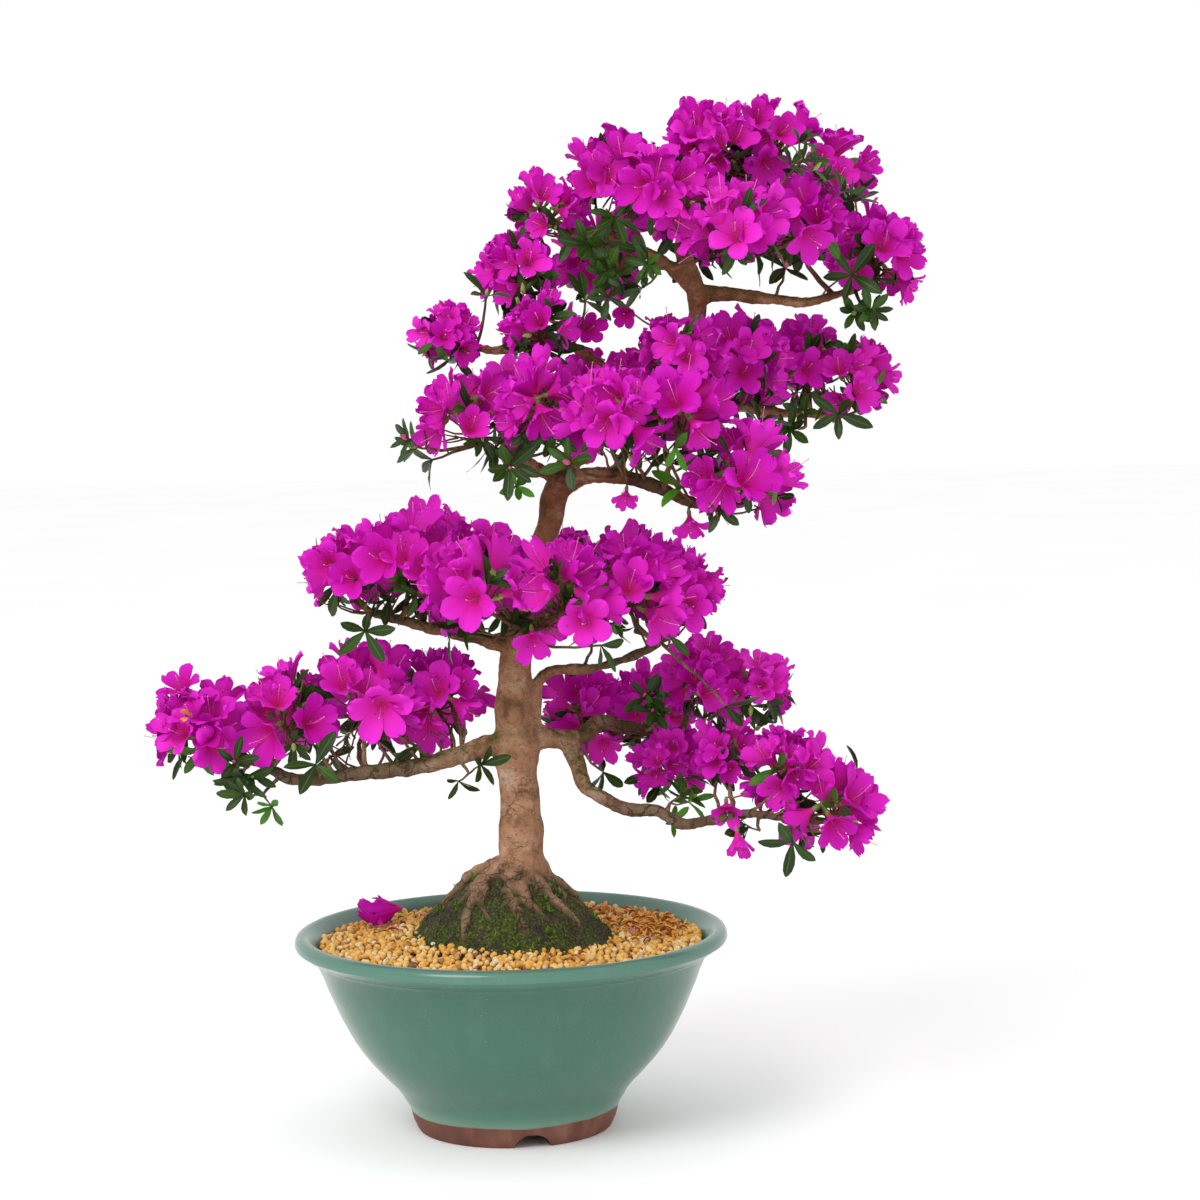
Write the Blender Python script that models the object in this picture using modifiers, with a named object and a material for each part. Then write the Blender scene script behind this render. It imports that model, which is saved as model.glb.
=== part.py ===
"""A satsuki azalea bonsai in flower, in a round glazed pot. Units are metres, +Z is up.

Routes and bloom heads are given in millimetres from the pot's axis and the floor,
and are moved to the model's own origin by the function at().
"""

import math
import random

import bmesh
import bpy
from mathutils import Matrix, Vector
from mathutils.bvhtree import BVHTree

MM = 0.001
GAP = 0.3 * MM
MERGE_DISTANCE = 0.01 * MM
SEED = 41

# The pot's axis stands left of the middle of the whole tree
POT_AXIS = Vector((-0.028, 0.0, 0.0))

# Pot, in millimetres: a round bowl with a rolled lip on a bare foot ring
POT_STEPS = 32
SOIL_STEPS = 16
LIP_RADIUS = 150
LIP_TOP = 138
FOOT_RADIUS = 66
FOOT_INNER_RADIUS = 55
FOOT_RECESS = 9
FLOOR_TOP = 19
DRAIN_RADIUS = 13
BOWL_INSIDE = ((66, FLOOR_TOP), (106, 70), (126, 116))
NOTCH_WIDTH = 27
NOTCH_HEIGHT = 9
NOTCH_DEPTH = 30
NOTCH_COUNT = 3
NOTCH_ANGLE = -79

# Drain mesh over the hole in the pot's floor
MESH_RADIUS = 20
MESH_STEPS = 16
MESH_THICKNESS = 1.2
MESH_PITCH = 8
MESH_HOLE = 5.4

# Soil, gravel and mossy mound
SOIL_TOP = 118
GRAVEL_LEVEL = 129
GRAVEL_TOP = 131
GRAVEL_RADIUS = 128.2
GRAVEL_FOOT_RADIUS = 125.9
GRAVEL_STEPS = 40
GRAVEL_ROWS = 5
GRAVEL_RELIEF = 3.2
GRAIN_SHIFT = 1.5
MOUND_RADIUS = 67
MOUND_TOP_RADIUS = 13
MOUND_TOP = 183
MOUND_EDGE = 132
MOUND_BULGE = 1.15
MOUND_STEPS = 16
MOUND_ROWS = 4
MOUND_RELIEF = 2.2

# Roots that spread over the mound: compass angle in degrees, reach and thickness
ROOTS = (
    (-124, 60, 8),
    (-88, 54, 7),
    (-48, 60, 8.5),
    (-6, 54, 7.5),
    (44, 58, 8.5),
    (92, 56, 8),
    (140, 60, 8),
    (188, 62, 8.5),
)
ROOT_STAGES = ((0.06, 188, 1.1), (0.34, 174, 1.1), (0.7, 156, 0.85), (1.0, 131, 0.5))
ROOT_SWAY = 0.22
ROOT_START = 3
TRUNK_FOOT = 4

# Limbs: name, radius at the start and at the end, and the route
LIMBS = (
    ("trunk", 16.5, 9.5, ((9, 0, 108), (9, 0, 150), (8, 0, 185), (8, 0, 221), (6, 0, 254), (5, 0, 283),
                       (7, 0, 325), (11, 0, 353), (19, 0, 380), (28, 0, 404), (37, 0, 442))),
    ("leader", 10.5, 5, ((34, 0, 430), (40, 2, 452), (49, 8, 464), (68, 20, 485), (96, 25, 509),
                         (121, 25, 532), (136, 18, 555), (134, 8, 583), (127, 5, 604), (132, 5, 628),
                         (146, 6, 655))),
    ("lower_left", 7.5, 3, ((6, 2, 268), (-18, -10, 266), (-59, -25, 256), (-100, -30, 253),
                            (-141, -30, 249), (-162, -25, 256), (-190, -22, 268))),
    ("right_back", 7.5, 3, ((6, 0, 277), (26, 15, 269), (50, 30, 266), (64, 40, 276), (82, 50, 271),
                            (121, 56, 261), (149, 55, 254))),
    ("right_low", 6.5, 3, ((28, 14, 270), (44, 5, 251), (53, -10, 235), (80, -28, 225),
                           (101, -36, 224), (121, -42, 215), (158, -46, 222), (190, -46, 219))),
    ("riser", 5, 2.6, ((20, 10, 268), (24, 12, 292), (25, 10, 309), (34, 2, 318), (58, -5, 319),
                       (82, -5, 324), (107, -8, 336))),
    ("middle_left_limb", 5.5, 3, ((8, 0, 335), (-20, -12, 342), (-55, -20, 352), (-90, -20, 362))),
    ("middle_front_limb", 4.5, 2.6, ((8, -2, 338), (8, -30, 344), (12, -60, 352))),
    ("middle_back_limb", 5, 2.6, ((10, 2, 342), (12, 35, 348), (18, 66, 358))),
    ("upper_fork", 7, 3, ((36, 0, 440), (49, -15, 449), (68, -30, 452), (94, -46, 449),
                          (127, -62, 436), (148, -68, 430))),
    ("upper_left_limb", 5, 2.6, ((40, 0, 448), (22, -22, 460), (4, -34, 468), (-12, -40, 476))),
    ("far_right_limb", 5.5, 2.6, ((100, 25, 513), (138, 38, 502), (166, 44, 495), (202, 46, 490),
                                  (236, 40, 488))),
    ("left_tier_limb", 4.5, 2.4, ((94, 24, 508), (76, 10, 520), (56, -10, 536), (35, -20, 540),
                                  (2, -25, 538), (-20, -28, 541))),
    ("upper_back_limb", 5, 2.6, ((72, 20, 489), (78, 48, 486), (88, 72, 486))),
    ("crown_right_limb", 5.5, 2.6, ((135, 10, 572), (152, 10, 574), (180, 14, 570), (208, 20, 567),
                                    (236, 22, 572), (256, 20, 580))),
    ("crown_left_limb", 5, 2.4, ((132, 6, 582), (111, 0, 597), (84, -5, 610), (57, -10, 618))),
    ("crown_front_limb", 4.5, 2.4, ((129, 5, 600), (134, -22, 602), (142, -45, 604))),
    ("crown_back_limb", 4.5, 2.4, ((129, 6, 602), (136, 32, 606), (146, 56, 610))),
)
LIMB_SPACING = 38
THICK_LIMB = 5
LIMB_RESOLUTIONS = {"trunk": 3, "leader": 2}

# Bloom heads: the middles and radii of the rounded clusters that make each group
HEADS = {
    "lower_left": ((-205, -25, 283, 31), (-149, -22, 290, 33), (-97, -12, 300, 36), (-48, 15, 297, 32),
                   (-98, 50, 290, 30), (-152, 40, 288, 28)),
    "middle_left": ((-103, -20, 384, 30), (-63, -33, 389, 36)),
    "middle_front": ((-12, -78, 377, 36), (42, -76, 373, 34)),
    "middle_right": ((86, -44, 375, 34), (118, -18, 370, 28)),
    "middle_back": ((-50, 36, 395, 31), (-14, 72, 377, 32), (42, 78, 374, 32), (90, 42, 379, 30)),
    "right_back": ((54, 82, 278, 28), (100, 92, 274, 29), (112, 38, 245, 24)),
    "right_middle": ((138, 28, 303, 28), (172, 24, 299, 25)),
    "lower_right": ((152, -4, 259, 21), (192, -34, 249, 28), (220, -44, 223, 30)),
    "upper_left": ((-18, -50, 492, 30), (30, -68, 497, 31)),
    "upper_front": ((77, -86, 492, 33), (121, -80, 488, 33), (162, -72, 452, 34)),
    "shoulder": ((123, -34, 531, 28), (169, 8, 527, 28)),
    "upper_back": ((12, 22, 497, 28), (62, 62, 500, 31), (112, 84, 506, 31), (160, 76, 506, 29)),
    "far_right": ((214, 43, 523, 28), (245, 35, 512, 28)),
    "left_tier": ((-33, -30, 548, 20), (30, -50, 552, 24), (15, -20, 590, 26)),
    "crown_left": ((36, -15, 630, 24), (83, 0, 653, 30)),
    "crown_front": ((116, -52, 636, 32), (158, -70, 614, 32)),
    "crown_top": ((149, 8, 673, 29), (191, 20, 674, 29)),
    "crown_right": ((231, 22, 655, 29), (206, -40, 619, 27), (258, 14, 597, 29)),
    "crown_back": ((70, 48, 598, 29), (120, 66, 640, 31), (168, 76, 634, 32), (216, 70, 622, 28)),
}
CORE_SHARE = 0.44
CORE_FACE_SHARE = 0.8
CORE_STEM_RADIUS = 3

# Branches to the heads and twigs to the leaves start past the bare part of a limb
BRANCH_BARE_SHARE = 0.25
BRANCH_RADIUS = 3
BRANCH_TO_LIMB = 0.9
BRANCH_TIP_RADIUS = 1.6
TWIG_BARE_SHARE = 0.3
TWIG_RADIUS = 1.5
TWIG_TIP_RADIUS = 1.0

# Blooms: a five-lobed funnel that grows out of each side of a twelve-sided core
BLOOM_SHARE = 0.62
LARGEST_BLOOM = 22
BLOOM_VARIATION = (0.94, 1.0)
INSIDE_SHARE = 1.24
BLOOM_LOWEST = -0.3
LOBES = 5
NOTCH_SHARE = 0.66
NOTCH_DROP = 4
THROAT_SHARE = 0.6
CURL_IN = 0.45
CURL_UP = 0.5
BLOOM_SIZES = (1.0, 0.88, 0.76)
CLEAR_SCALE = 1.05

# Leaf whorls: where each sits under, between or beside the bloom heads
WHORLS = (
    (-178, -40, 252), (-196, 8, 262), (-128, -50, 262), (-74, -30, 262), (-62, 44, 262),
    (-124, 14, 258), (-92, -52, 352), (-34, -66, 350), (66, -88, 343), (112, -52, 345),
    (-36, 8, 352), (60, 34, 345), (20, 104, 350), (150, -32, 294), (154, 62, 246),
    (66, 44, 240), (172, 12, 272), (192, -66, 206), (240, -24, 246), (-44, -46, 466),
    (8, -92, 462), (48, -96, 464), (122, -76, 446), (176, -30, 486), (10, 50, 470),
    (90, 96, 470), (232, 8, 490), (-6, -50, 574), (60, -36, 570), (52, -34, 612),
    (196, -8, 590), (240, -24, 584), (140, 92, 602), (250, 58, 636),
)
LEAVES_PER_WHORL = 5
LEAF_LENGTH = 26
LEAF_WIDTH = 9
LEAF_SIZES = (0.85, 1.15)
LEAF_WIDEST = 0.6
LEAF_FOLD = 0.12
LEAF_DROOP = 0.1
LEAF_LIFT = (8, 38)
LEAF_SPREAD = 0.2
LEAF_THICKNESS = 1.1
LOWEST_WHORL = -0.5
LEAF_CLEAR_SCALE = 1.06
HUB_RADIUS = 3.6
SOCKET_RADIUS = 2.1
SOCKET_TOP = 0.5

# The wilted bloom that lies on the gravel
FALLEN_SPOT = (-99, 56)
FALLEN_RADIUS = 15
FALLEN_DEPTH = 18
FALLEN_TUBE_RADIUS = 3
FALLEN_CURL = 0.8
FALLEN_LEAN = math.radians(-62)
FALLEN_TURN = 0.5
FALLEN_CLEARING = 26

COLLECTION_NAME = "satsuki_azalea_bonsai"
ROUND_ANGLE = math.radians(40)
FLAT_ANGLE = math.radians(1)


def at(x, y, z):
    """A point given in millimetres from the pot's axis, in metres from the origin."""
    return POT_AXIS + Vector((x, y, z)) * MM


def clear_scene():
    for thing in list(bpy.data.objects):
        bpy.data.objects.remove(thing)


def new_collection(name):
    collection = bpy.data.collections.new(name)
    bpy.context.scene.collection.children.link(collection)
    return collection


def material(name, colour, roughness):
    made = bpy.data.materials.new(name)
    made.use_nodes = True
    shader = made.node_tree.nodes["Principled BSDF"]
    shader.inputs["Base Color"].default_value = (*colour, 1.0)
    shader.inputs["Roughness"].default_value = roughness
    shader.inputs["Metallic"].default_value = 0.0
    return made


def add_object(name, mesh, collection):
    made = bpy.data.objects.new(name, mesh)
    collection.objects.link(made)
    return made


def object_from_bmesh(name, bm, collection):
    mesh = bpy.data.meshes.new(name)
    bm.to_mesh(mesh)
    bm.free()
    return add_object(name, mesh, collection)


def apply_modifiers(thing):
    """Keep the shape that the modifiers give, and drop the modifiers."""
    graph = bpy.context.evaluated_depsgraph_get()
    graph.update()
    thing.data = bpy.data.meshes.new_from_object(thing.evaluated_get(graph))
    thing.modifiers.clear()


def join_all(base, pieces):
    """Fuse every object of a collection into the base, and remove them."""
    fuse = base.modifiers.new("fuse", "BOOLEAN")
    fuse.operation = "UNION"
    fuse.operand_type = "COLLECTION"
    fuse.collection = pieces
    fuse.solver = "MANIFOLD"
    apply_modifiers(base)
    for piece in list(pieces.objects):
        bpy.data.objects.remove(piece)
    bpy.data.collections.remove(pieces)


def cut(thing, cutter, solver="EXACT"):
    carve = thing.modifiers.new("cut", "BOOLEAN")
    carve.operation = "DIFFERENCE"
    carve.object = cutter
    carve.solver = solver
    apply_modifiers(thing)


def faces_joined_to(start):
    found = {start}
    waiting = [start]
    while waiting:
        face = waiting.pop()
        for edge in face.edges:
            for other in edge.link_faces:
                if other not in found:
                    found.add(other)
                    waiting.append(other)
    return found


def keep_largest_body(thing):
    """Drop the loose scraps that a cut leaves."""
    bm = bmesh.new()
    bm.from_mesh(thing.data)
    left = set(bm.faces)
    bodies = []
    while left:
        body = faces_joined_to(next(iter(left)))
        bodies.append(body)
        left -= body
    bodies.sort(key=len, reverse=True)
    scraps = [face for body in bodies[1:] for face in body]
    bmesh.ops.delete(bm, geom=scraps, context="FACES")
    loose = [vert for vert in bm.verts if not vert.link_faces]
    bmesh.ops.delete(bm, geom=loose, context="VERTS")
    bm.to_mesh(thing.data)
    bm.free()


def merge_flat_faces(thing):
    """Merge the splinters that fusing and cutting leave in flat faces."""
    bm = bmesh.new()
    bm.from_mesh(thing.data)
    bmesh.ops.dissolve_limit(bm, angle_limit=FLAT_ANGLE, verts=bm.verts, edges=bm.edges)
    bmesh.ops.triangulate(bm, faces=bm.faces)
    bm.to_mesh(thing.data)
    bm.free()


def finish(thing, surface):
    """Give a node its material and shade it smooth where it is round."""
    merge_flat_faces(thing)
    thing.data.materials.clear()
    thing.data.materials.append(surface)
    thing.data.shade_smooth()
    thing.data.set_sharp_from_angle(angle=ROUND_ANGLE)


def turned(name, profile, steps, collection, closed=True):
    """A body turned about the pot's axis from (radius, height) points in millimetres."""
    bm = bmesh.new()
    points = [bm.verts.new((radius * MM, 0.0, height * MM)) for radius, height in profile]
    for start, end in zip(points, points[1:]):
        bm.edges.new((start, end))
    if closed:
        bm.edges.new((points[-1], points[0]))
    body = object_from_bmesh(name, bm, collection)
    screw = body.modifiers.new("turn", "SCREW")
    screw.steps = steps
    screw.render_steps = steps
    screw.use_merge_vertices = True
    screw.merge_threshold = MERGE_DISTANCE
    apply_modifiers(body)
    body.data.transform(Matrix.Translation(POT_AXIS))
    return body


def pot_outside():
    """The bowl's outside, from the lip's crest down to the foot."""
    lip = [
        (143, LIP_TOP),
        (148, LIP_TOP - 2),
        (LIP_RADIUS, LIP_TOP - 6.5),
        (147, LIP_TOP - 10.6),
        (138, LIP_TOP - 12.4),
    ]
    wall = [
        (135.4, 120),
        (125.5, 95),
        (110, 64),
        (95, 44),
        (81.6, 30),
        (73.4, 17.5),
    ]
    foot = [
        (71.6, 12),
        (FOOT_RADIUS + 2, 1.5),
        (FOOT_RADIUS, 0),
    ]
    return lip + wall + foot


def pot_underside():
    return [
        (FOOT_INNER_RADIUS, 0),
        (FOOT_INNER_RADIUS - 1.5, FOOT_RECESS),
        (DRAIN_RADIUS, FOOT_RECESS),
    ]


def pot_inside():
    """The bowl's inside, from the drain hole up to the lip."""
    return [(DRAIN_RADIUS, FLOOR_TOP), *BOWL_INSIDE, (133, GRAVEL_TOP + 1)]


def foot_notch(number, collection):
    """A cutter for one arched notch under the foot ring."""
    angle = math.radians(NOTCH_ANGLE + 360 / NOTCH_COUNT * number)
    half = NOTCH_WIDTH / 2
    outline = (
        (-half, -2),
        (half, -2),
        (half - 1, 3),
        (half - 6, 7.5),
        (half - 11, NOTCH_HEIGHT),
        (-half + 10, NOTCH_HEIGHT),
        (-half + 3, 4),
    )
    curve = bpy.data.curves.new("foot_notch", "CURVE")
    curve.dimensions = "2D"
    curve.fill_mode = "BOTH"
    curve.extrude = NOTCH_DEPTH / 2 * MM
    spline = curve.splines.new("POLY")
    spline.points.add(len(outline) - 1)
    for point, (across, height) in zip(spline.points, outline):
        point.co = (across * MM, height * MM, 0.0, 1.0)
    spline.use_cyclic_u = True
    flat = add_object("foot_notch_outline", curve, collection)
    graph = bpy.context.evaluated_depsgraph_get()
    mesh = bpy.data.meshes.new_from_object(flat.evaluated_get(graph))
    bpy.data.objects.remove(flat)
    outward = Vector((math.cos(angle), math.sin(angle), 0.0))
    sideways = Vector((-math.sin(angle), math.cos(angle), 0.0))
    place = Matrix((
        (sideways.x, 0.0, outward.x, 0.0),
        (sideways.y, 0.0, outward.y, 0.0),
        (0.0, 1.0, 0.0, 0.0),
        (0.0, 0.0, 0.0, 1.0),
    ))
    middle = POT_AXIS + outward * (FOOT_RADIUS - 4) * MM
    bm = bmesh.new()
    bm.from_mesh(mesh)
    bmesh.ops.remove_doubles(bm, verts=bm.verts, dist=MERGE_DISTANCE)
    bmesh.ops.transform(bm, matrix=Matrix.Translation(middle) @ place, verts=bm.verts)
    bmesh.ops.recalc_face_normals(bm, faces=bm.faces)
    notch = object_from_bmesh("foot_notch_" + str(number + 1), bm, collection)
    notch.hide_render = True
    notch.display_type = "WIRE"
    return notch


def make_pot(parts, cutters):
    profile = pot_outside() + pot_underside() + pot_inside()
    pot = turned("pot", profile, POT_STEPS, parts)
    for number in range(NOTCH_COUNT):
        cut(pot, foot_notch(number, cutters))
    finish(pot, material("glazed_stoneware", (0.065, 0.2, 0.14), 0.22))


def make_drain_mesh(parts, cutters):
    """A plastic mesh disc with square holes, resting on the pot's floor."""
    low = FLOOR_TOP * MM + GAP
    bm = bmesh.new()
    middle = POT_AXIS + Vector((0.0, 0.0, low + MESH_THICKNESS * MM / 2))
    bmesh.ops.create_cone(bm, cap_ends=True, segments=MESH_STEPS, radius1=MESH_RADIUS * MM,
                          radius2=MESH_RADIUS * MM, depth=MESH_THICKNESS * MM,
                          matrix=Matrix.Translation(middle))
    disc = object_from_bmesh("drain_mesh", bm, parts)
    bm = bmesh.new()
    for row, column in ((0, 0), (1, 0), (0, 1), (-1, 0), (0, -1)):
        spot = middle + Vector((row, column, 0.0)) * MESH_PITCH * MM
        bmesh.ops.create_cube(bm, size=MESH_HOLE * MM, matrix=Matrix.Translation(spot))
    holes = object_from_bmesh("drain_mesh_holes", bm, cutters)
    holes.hide_render = True
    holes.display_type = "WIRE"
    cut(disc, holes)
    finish(disc, material("black_plastic", (0.02, 0.02, 0.02), 0.6))


def make_soil(parts, tree_space):
    """The soil that fills the bowl, with plain holes where the roots stand."""
    gap = GAP / MM
    under = FLOOR_TOP + gap
    over_mesh = under + MESH_THICKNESS + gap
    wall = [(radius - 2 * gap, max(height, under)) for radius, height in reversed(BOWL_INSIDE)]
    top = [(0, SOIL_TOP), (wall[0][0], SOIL_TOP)]
    floor = [(MESH_RADIUS + gap, under), (MESH_RADIUS + gap, over_mesh), (0, over_mesh)]
    profile = top + wall + floor
    soil = turned("soil", profile, SOIL_STEPS, parts, closed=False)
    cut(soil, tree_space)
    keep_largest_body(soil)
    finish(soil, material("potting_soil", (0.06, 0.04, 0.025), 0.95))


def radius_of(point):
    away = point - POT_AXIS
    return math.hypot(away.x, away.y)


def make_gravel(parts, tree_space):
    """A ring of gravel whose top is raised in grains, with a clearing for the fallen bloom."""
    low = SOIL_TOP + GAP / MM
    inner = MOUND_RADIUS + GAP / MM
    row_width = (GRAVEL_RADIUS - inner) / GRAVEL_ROWS
    top = [(inner + row_width * row, GRAVEL_LEVEL) for row in range(GRAVEL_ROWS + 1)]
    profile = top + [(GRAVEL_FOOT_RADIUS, low), (inner, low)]
    gravel = turned("gravel", profile, GRAVEL_STEPS, parts)
    draw = random.Random(SEED)
    clearing = at(*FALLEN_SPOT, GRAVEL_LEVEL)
    edge = row_width / 2
    bm = bmesh.new()
    bm.from_mesh(gravel.data)
    for vert in bm.verts:
        lift = draw.uniform(0.0, GRAVEL_RELIEF) * MM
        shift = draw.uniform(-GRAIN_SHIFT, GRAIN_SHIFT) * MM
        on_top = vert.co.z > (low + GRAVEL_LEVEL) / 2 * MM
        inside = inner + edge < radius_of(vert.co) / MM < GRAVEL_RADIUS - edge
        near_bloom = math.dist(vert.co.xy, clearing.xy) < FALLEN_CLEARING * MM
        if not (on_top and inside):
            continue
        vert.co.x += shift
        vert.co.y -= shift
        if not near_bloom:
            vert.co.z += lift
    bmesh.ops.triangulate(bm, faces=bm.faces)
    bm.to_mesh(gravel.data)
    bm.free()
    cut(gravel, tree_space)
    keep_largest_body(gravel)
    finish(gravel, material("pumice_gravel", (0.72, 0.42, 0.13), 0.85))


def make_moss_mound(parts, tree_space):
    """The mossy mound under the surface roots."""
    low = SOIL_TOP + GAP / MM
    profile = [(0, MOUND_TOP)]
    rise = MOUND_TOP - MOUND_EDGE
    for step in range(MOUND_ROWS + 1):
        share = step / MOUND_ROWS
        radius = MOUND_TOP_RADIUS + (MOUND_RADIUS - MOUND_TOP_RADIUS) * share
        profile.append((radius, MOUND_TOP - rise * share ** MOUND_BULGE))
    profile += [(MOUND_RADIUS, low), (0, low)]
    mound = turned("moss_mound", profile, MOUND_STEPS, parts, closed=False)
    draw = random.Random(SEED + 1)
    bm = bmesh.new()
    bm.from_mesh(mound.data)
    for vert in bm.verts:
        lift = draw.uniform(-1.0, 1.0) * MOUND_RELIEF * MM
        if vert.co.z > GRAVEL_TOP * MM and radius_of(vert.co) > MM:
            vert.co.z += lift
    bmesh.ops.triangulate(bm, faces=bm.faces)
    bm.to_mesh(mound.data)
    bm.free()
    cut(mound, tree_space)
    keep_largest_body(mound)
    finish(mound, material("moss", (0.045, 0.09, 0.015), 0.95))


def smooth_route(points, spacing):
    """Points at an even spacing on a smooth curve through a route."""
    ends = [points[0] * 2 - points[1]] + list(points) + [points[-1] * 2 - points[-2]]
    route = []
    for before, start, end, after in zip(ends, ends[1:], ends[2:], ends[3:]):
        count = max(1, round((end - start).length / spacing))
        for step in range(count):
            t = step / count
            route.append(0.5 * (2 * start + (end - before) * t
                                + (2 * before - 5 * start + 4 * end - after) * t ** 2
                                + (3 * start - before - 3 * end + after) * t ** 3))
    route.append(points[-1])
    return route


def tapered(count, first, last):
    return [first + (last - first) * step / (count - 1) for step in range(count)]


def tube(name, route, radii, resolution, grow, collection):
    """A tapered tube with filled ends; grow makes it larger all round for a clearance."""
    sides = 4 + 2 * resolution
    extra = grow / math.cos(math.pi / sides)
    points = [point.copy() for point in route]
    points[0] -= (points[1] - points[0]).normalized() * grow
    points[-1] += (points[-1] - points[-2]).normalized() * grow
    curve = bpy.data.curves.new(name, "CURVE")
    curve.dimensions = "3D"
    curve.bevel_depth = MM
    curve.bevel_resolution = resolution
    curve.use_fill_caps = True
    spline = curve.splines.new("POLY")
    spline.points.add(len(points) - 1)
    for spot, point, radius in zip(spline.points, points, radii):
        spot.co = (*point, 1.0)
        spot.radius = radius + extra / MM
    bent = add_object(name, curve, collection)
    graph = bpy.context.evaluated_depsgraph_get()
    mesh = bpy.data.meshes.new_from_object(bent.evaluated_get(graph))
    bpy.data.objects.remove(bent)
    bm = bmesh.new()
    bm.from_mesh(mesh)
    bmesh.ops.remove_doubles(bm, verts=bm.verts, dist=MERGE_DISTANCE)
    bmesh.ops.recalc_face_normals(bm, faces=bm.faces)
    return object_from_bmesh(name, bm, collection)


def limb_tubes():
    """Every limb as (name, route, radii, resolution)."""
    tubes = []
    for name, first, last, points in LIMBS:
        route = smooth_route([at(*point) for point in points], LIMB_SPACING * MM)
        resolution = LIMB_RESOLUTIONS.get(name, int(first > THICK_LIMB))
        tubes.append((name, route, tapered(len(route), first, last), resolution))
    return tubes


def root_tubes():
    """Surface roots that leave the trunk's base and dive into the soil."""
    tubes = []
    for number, (angle, reach, thick) in enumerate(ROOTS):
        points = []
        radii = []
        for share, height, thickness in ROOT_STAGES:
            turn = math.radians(angle) + ROOT_SWAY * math.sin(3 * share + number)
            away = ROOT_START + reach * share
            points.append(at(TRUNK_FOOT + away * math.cos(turn), away * math.sin(turn), height))
            radii.append(thick * thickness)
        tubes.append(("root_" + str(number + 1), points, radii, 0))
    return tubes


def nearest_spot(target, tubes, bare_share):
    """The point of the tubes that lies nearest to a target, and the radius there."""
    best = None
    for _, route, radii, _ in tubes:
        start = int(len(route) * bare_share)
        for point, radius in zip(route[start:], radii[start:]):
            distance = (point - target).length
            if best is None or distance < best[0]:
                best = (distance, point, radius)
    return best[1], best[2]


def branch_tubes(limbs):
    """Branches from the limbs into each group, to the heads that lie nearest to a limb."""
    bearing = [limb for limb in limbs if limb[0] != "trunk"]
    tubes = []
    for group, heads in HEADS.items():
        reaches = []
        for head in heads:
            end = at(*head[:3])
            start, radius = nearest_spot(end, bearing, BRANCH_BARE_SHARE)
            reaches.append(((end - start).length, start, end, radius))
        reaches.sort(key=lambda reach: reach[0])
        for number, (_, start, end, radius) in enumerate(reaches[:(len(heads) + 2) // 3]):
            first = min(BRANCH_RADIUS, radius * BRANCH_TO_LIMB)
            name = group + "_branch_" + str(number + 1)
            tubes.append((name, [start, end], [first, BRANCH_TIP_RADIUS], 0))
    return tubes


def twig_tubes(carriers):
    """One twig from the nearest branch to each leaf whorl."""
    tubes = []
    for number, spot in enumerate(WHORLS):
        end = at(*spot)
        start, _ = nearest_spot(end, carriers, TWIG_BARE_SHARE)
        route = [start, end]
        tubes.append(("twig_" + str(number + 1), route, [TWIG_RADIUS, TWIG_TIP_RADIUS], 0))
    return tubes


def tree_tubes():
    limbs = limb_tubes()
    branches = branch_tubes(limbs)
    twigs = twig_tubes(limbs[1:] + branches)
    return limbs + root_tubes() + branches + twigs, twigs


def fused_tree(name, tubes, grow, collection):
    pieces = new_collection(name + "_pieces")
    trunk = tube(name, *tubes[0][1:], grow, collection)
    for tube_name, route, radii, resolution in tubes[1:]:
        tube(tube_name, route, radii, resolution, grow, pieces)
    join_all(trunk, pieces)
    return trunk


def facing(direction, spin):
    """A rotation that turns +Z to a direction, after a spin about it."""
    return direction.to_track_quat("Z", "Y").to_matrix().to_4x4() @ Matrix.Rotation(spin, 4, "Z")


def polar(radius, angle, height):
    return Vector((radius * math.cos(angle), radius * math.sin(angle), height)) * MM


def bloom_points(base, frame, radius, depth, curl=0.0):
    """The rim and the throat of a bloom that opens along the frame's +Z.

    Each lobe stands over one corner of its five-sided base, and the rim runs
    round as notch, tip for each lobe. Curl folds the lobes in, for a wilted bloom.
    """
    inverse = frame.inverted()
    points = list(base)
    for corner in base:
        local = inverse @ corner
        middle = math.atan2(local.y, local.x)
        points.append(frame @ polar(radius * NOTCH_SHARE, middle - math.pi / LOBES, -NOTCH_DROP))
        points.append(frame @ polar(radius * (1 - CURL_IN * curl), middle, CURL_UP * radius * curl))
    points.append(frame @ polar(0, 0, -depth * THROAT_SHARE))
    return points


def bloom_faces():
    """Triangles between the base, the rim and the throat, as places in bloom_points."""
    rim = 2 * LOBES
    throat = LOBES + rim
    faces = []
    for edge in range(rim):
        lobe = edge // 2
        start = LOBES + edge
        end = LOBES + (edge + 1) % rim
        faces.append((throat, start, end))
        faces.append((lobe, end, start))
        if edge % 2 == 1:
            faces.append((lobe, (lobe + 1) % LOBES, end))
    return faces


def surface_of(thing):
    """A search tree of an object's faces, to test what touches it."""
    verts = [vert.co.copy() for vert in thing.data.vertices]
    faces = [tuple(face.vertices) for face in thing.data.polygons]
    return BVHTree.FromPolygons(verts, faces)


def scaled_surface(points, faces, middle):
    """A search tree of a shape that is made a little larger, for clearance."""
    verts = [middle + (point - middle) * CLEAR_SCALE for point in points]
    return BVHTree.FromPolygons(verts, faces)


def inside_other_head(point, own):
    for heads in HEADS.values():
        for head in heads:
            if head is not own and (point - at(*head[:3])).length < INSIDE_SHARE * head[3] * MM:
                return True
    return False


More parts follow.
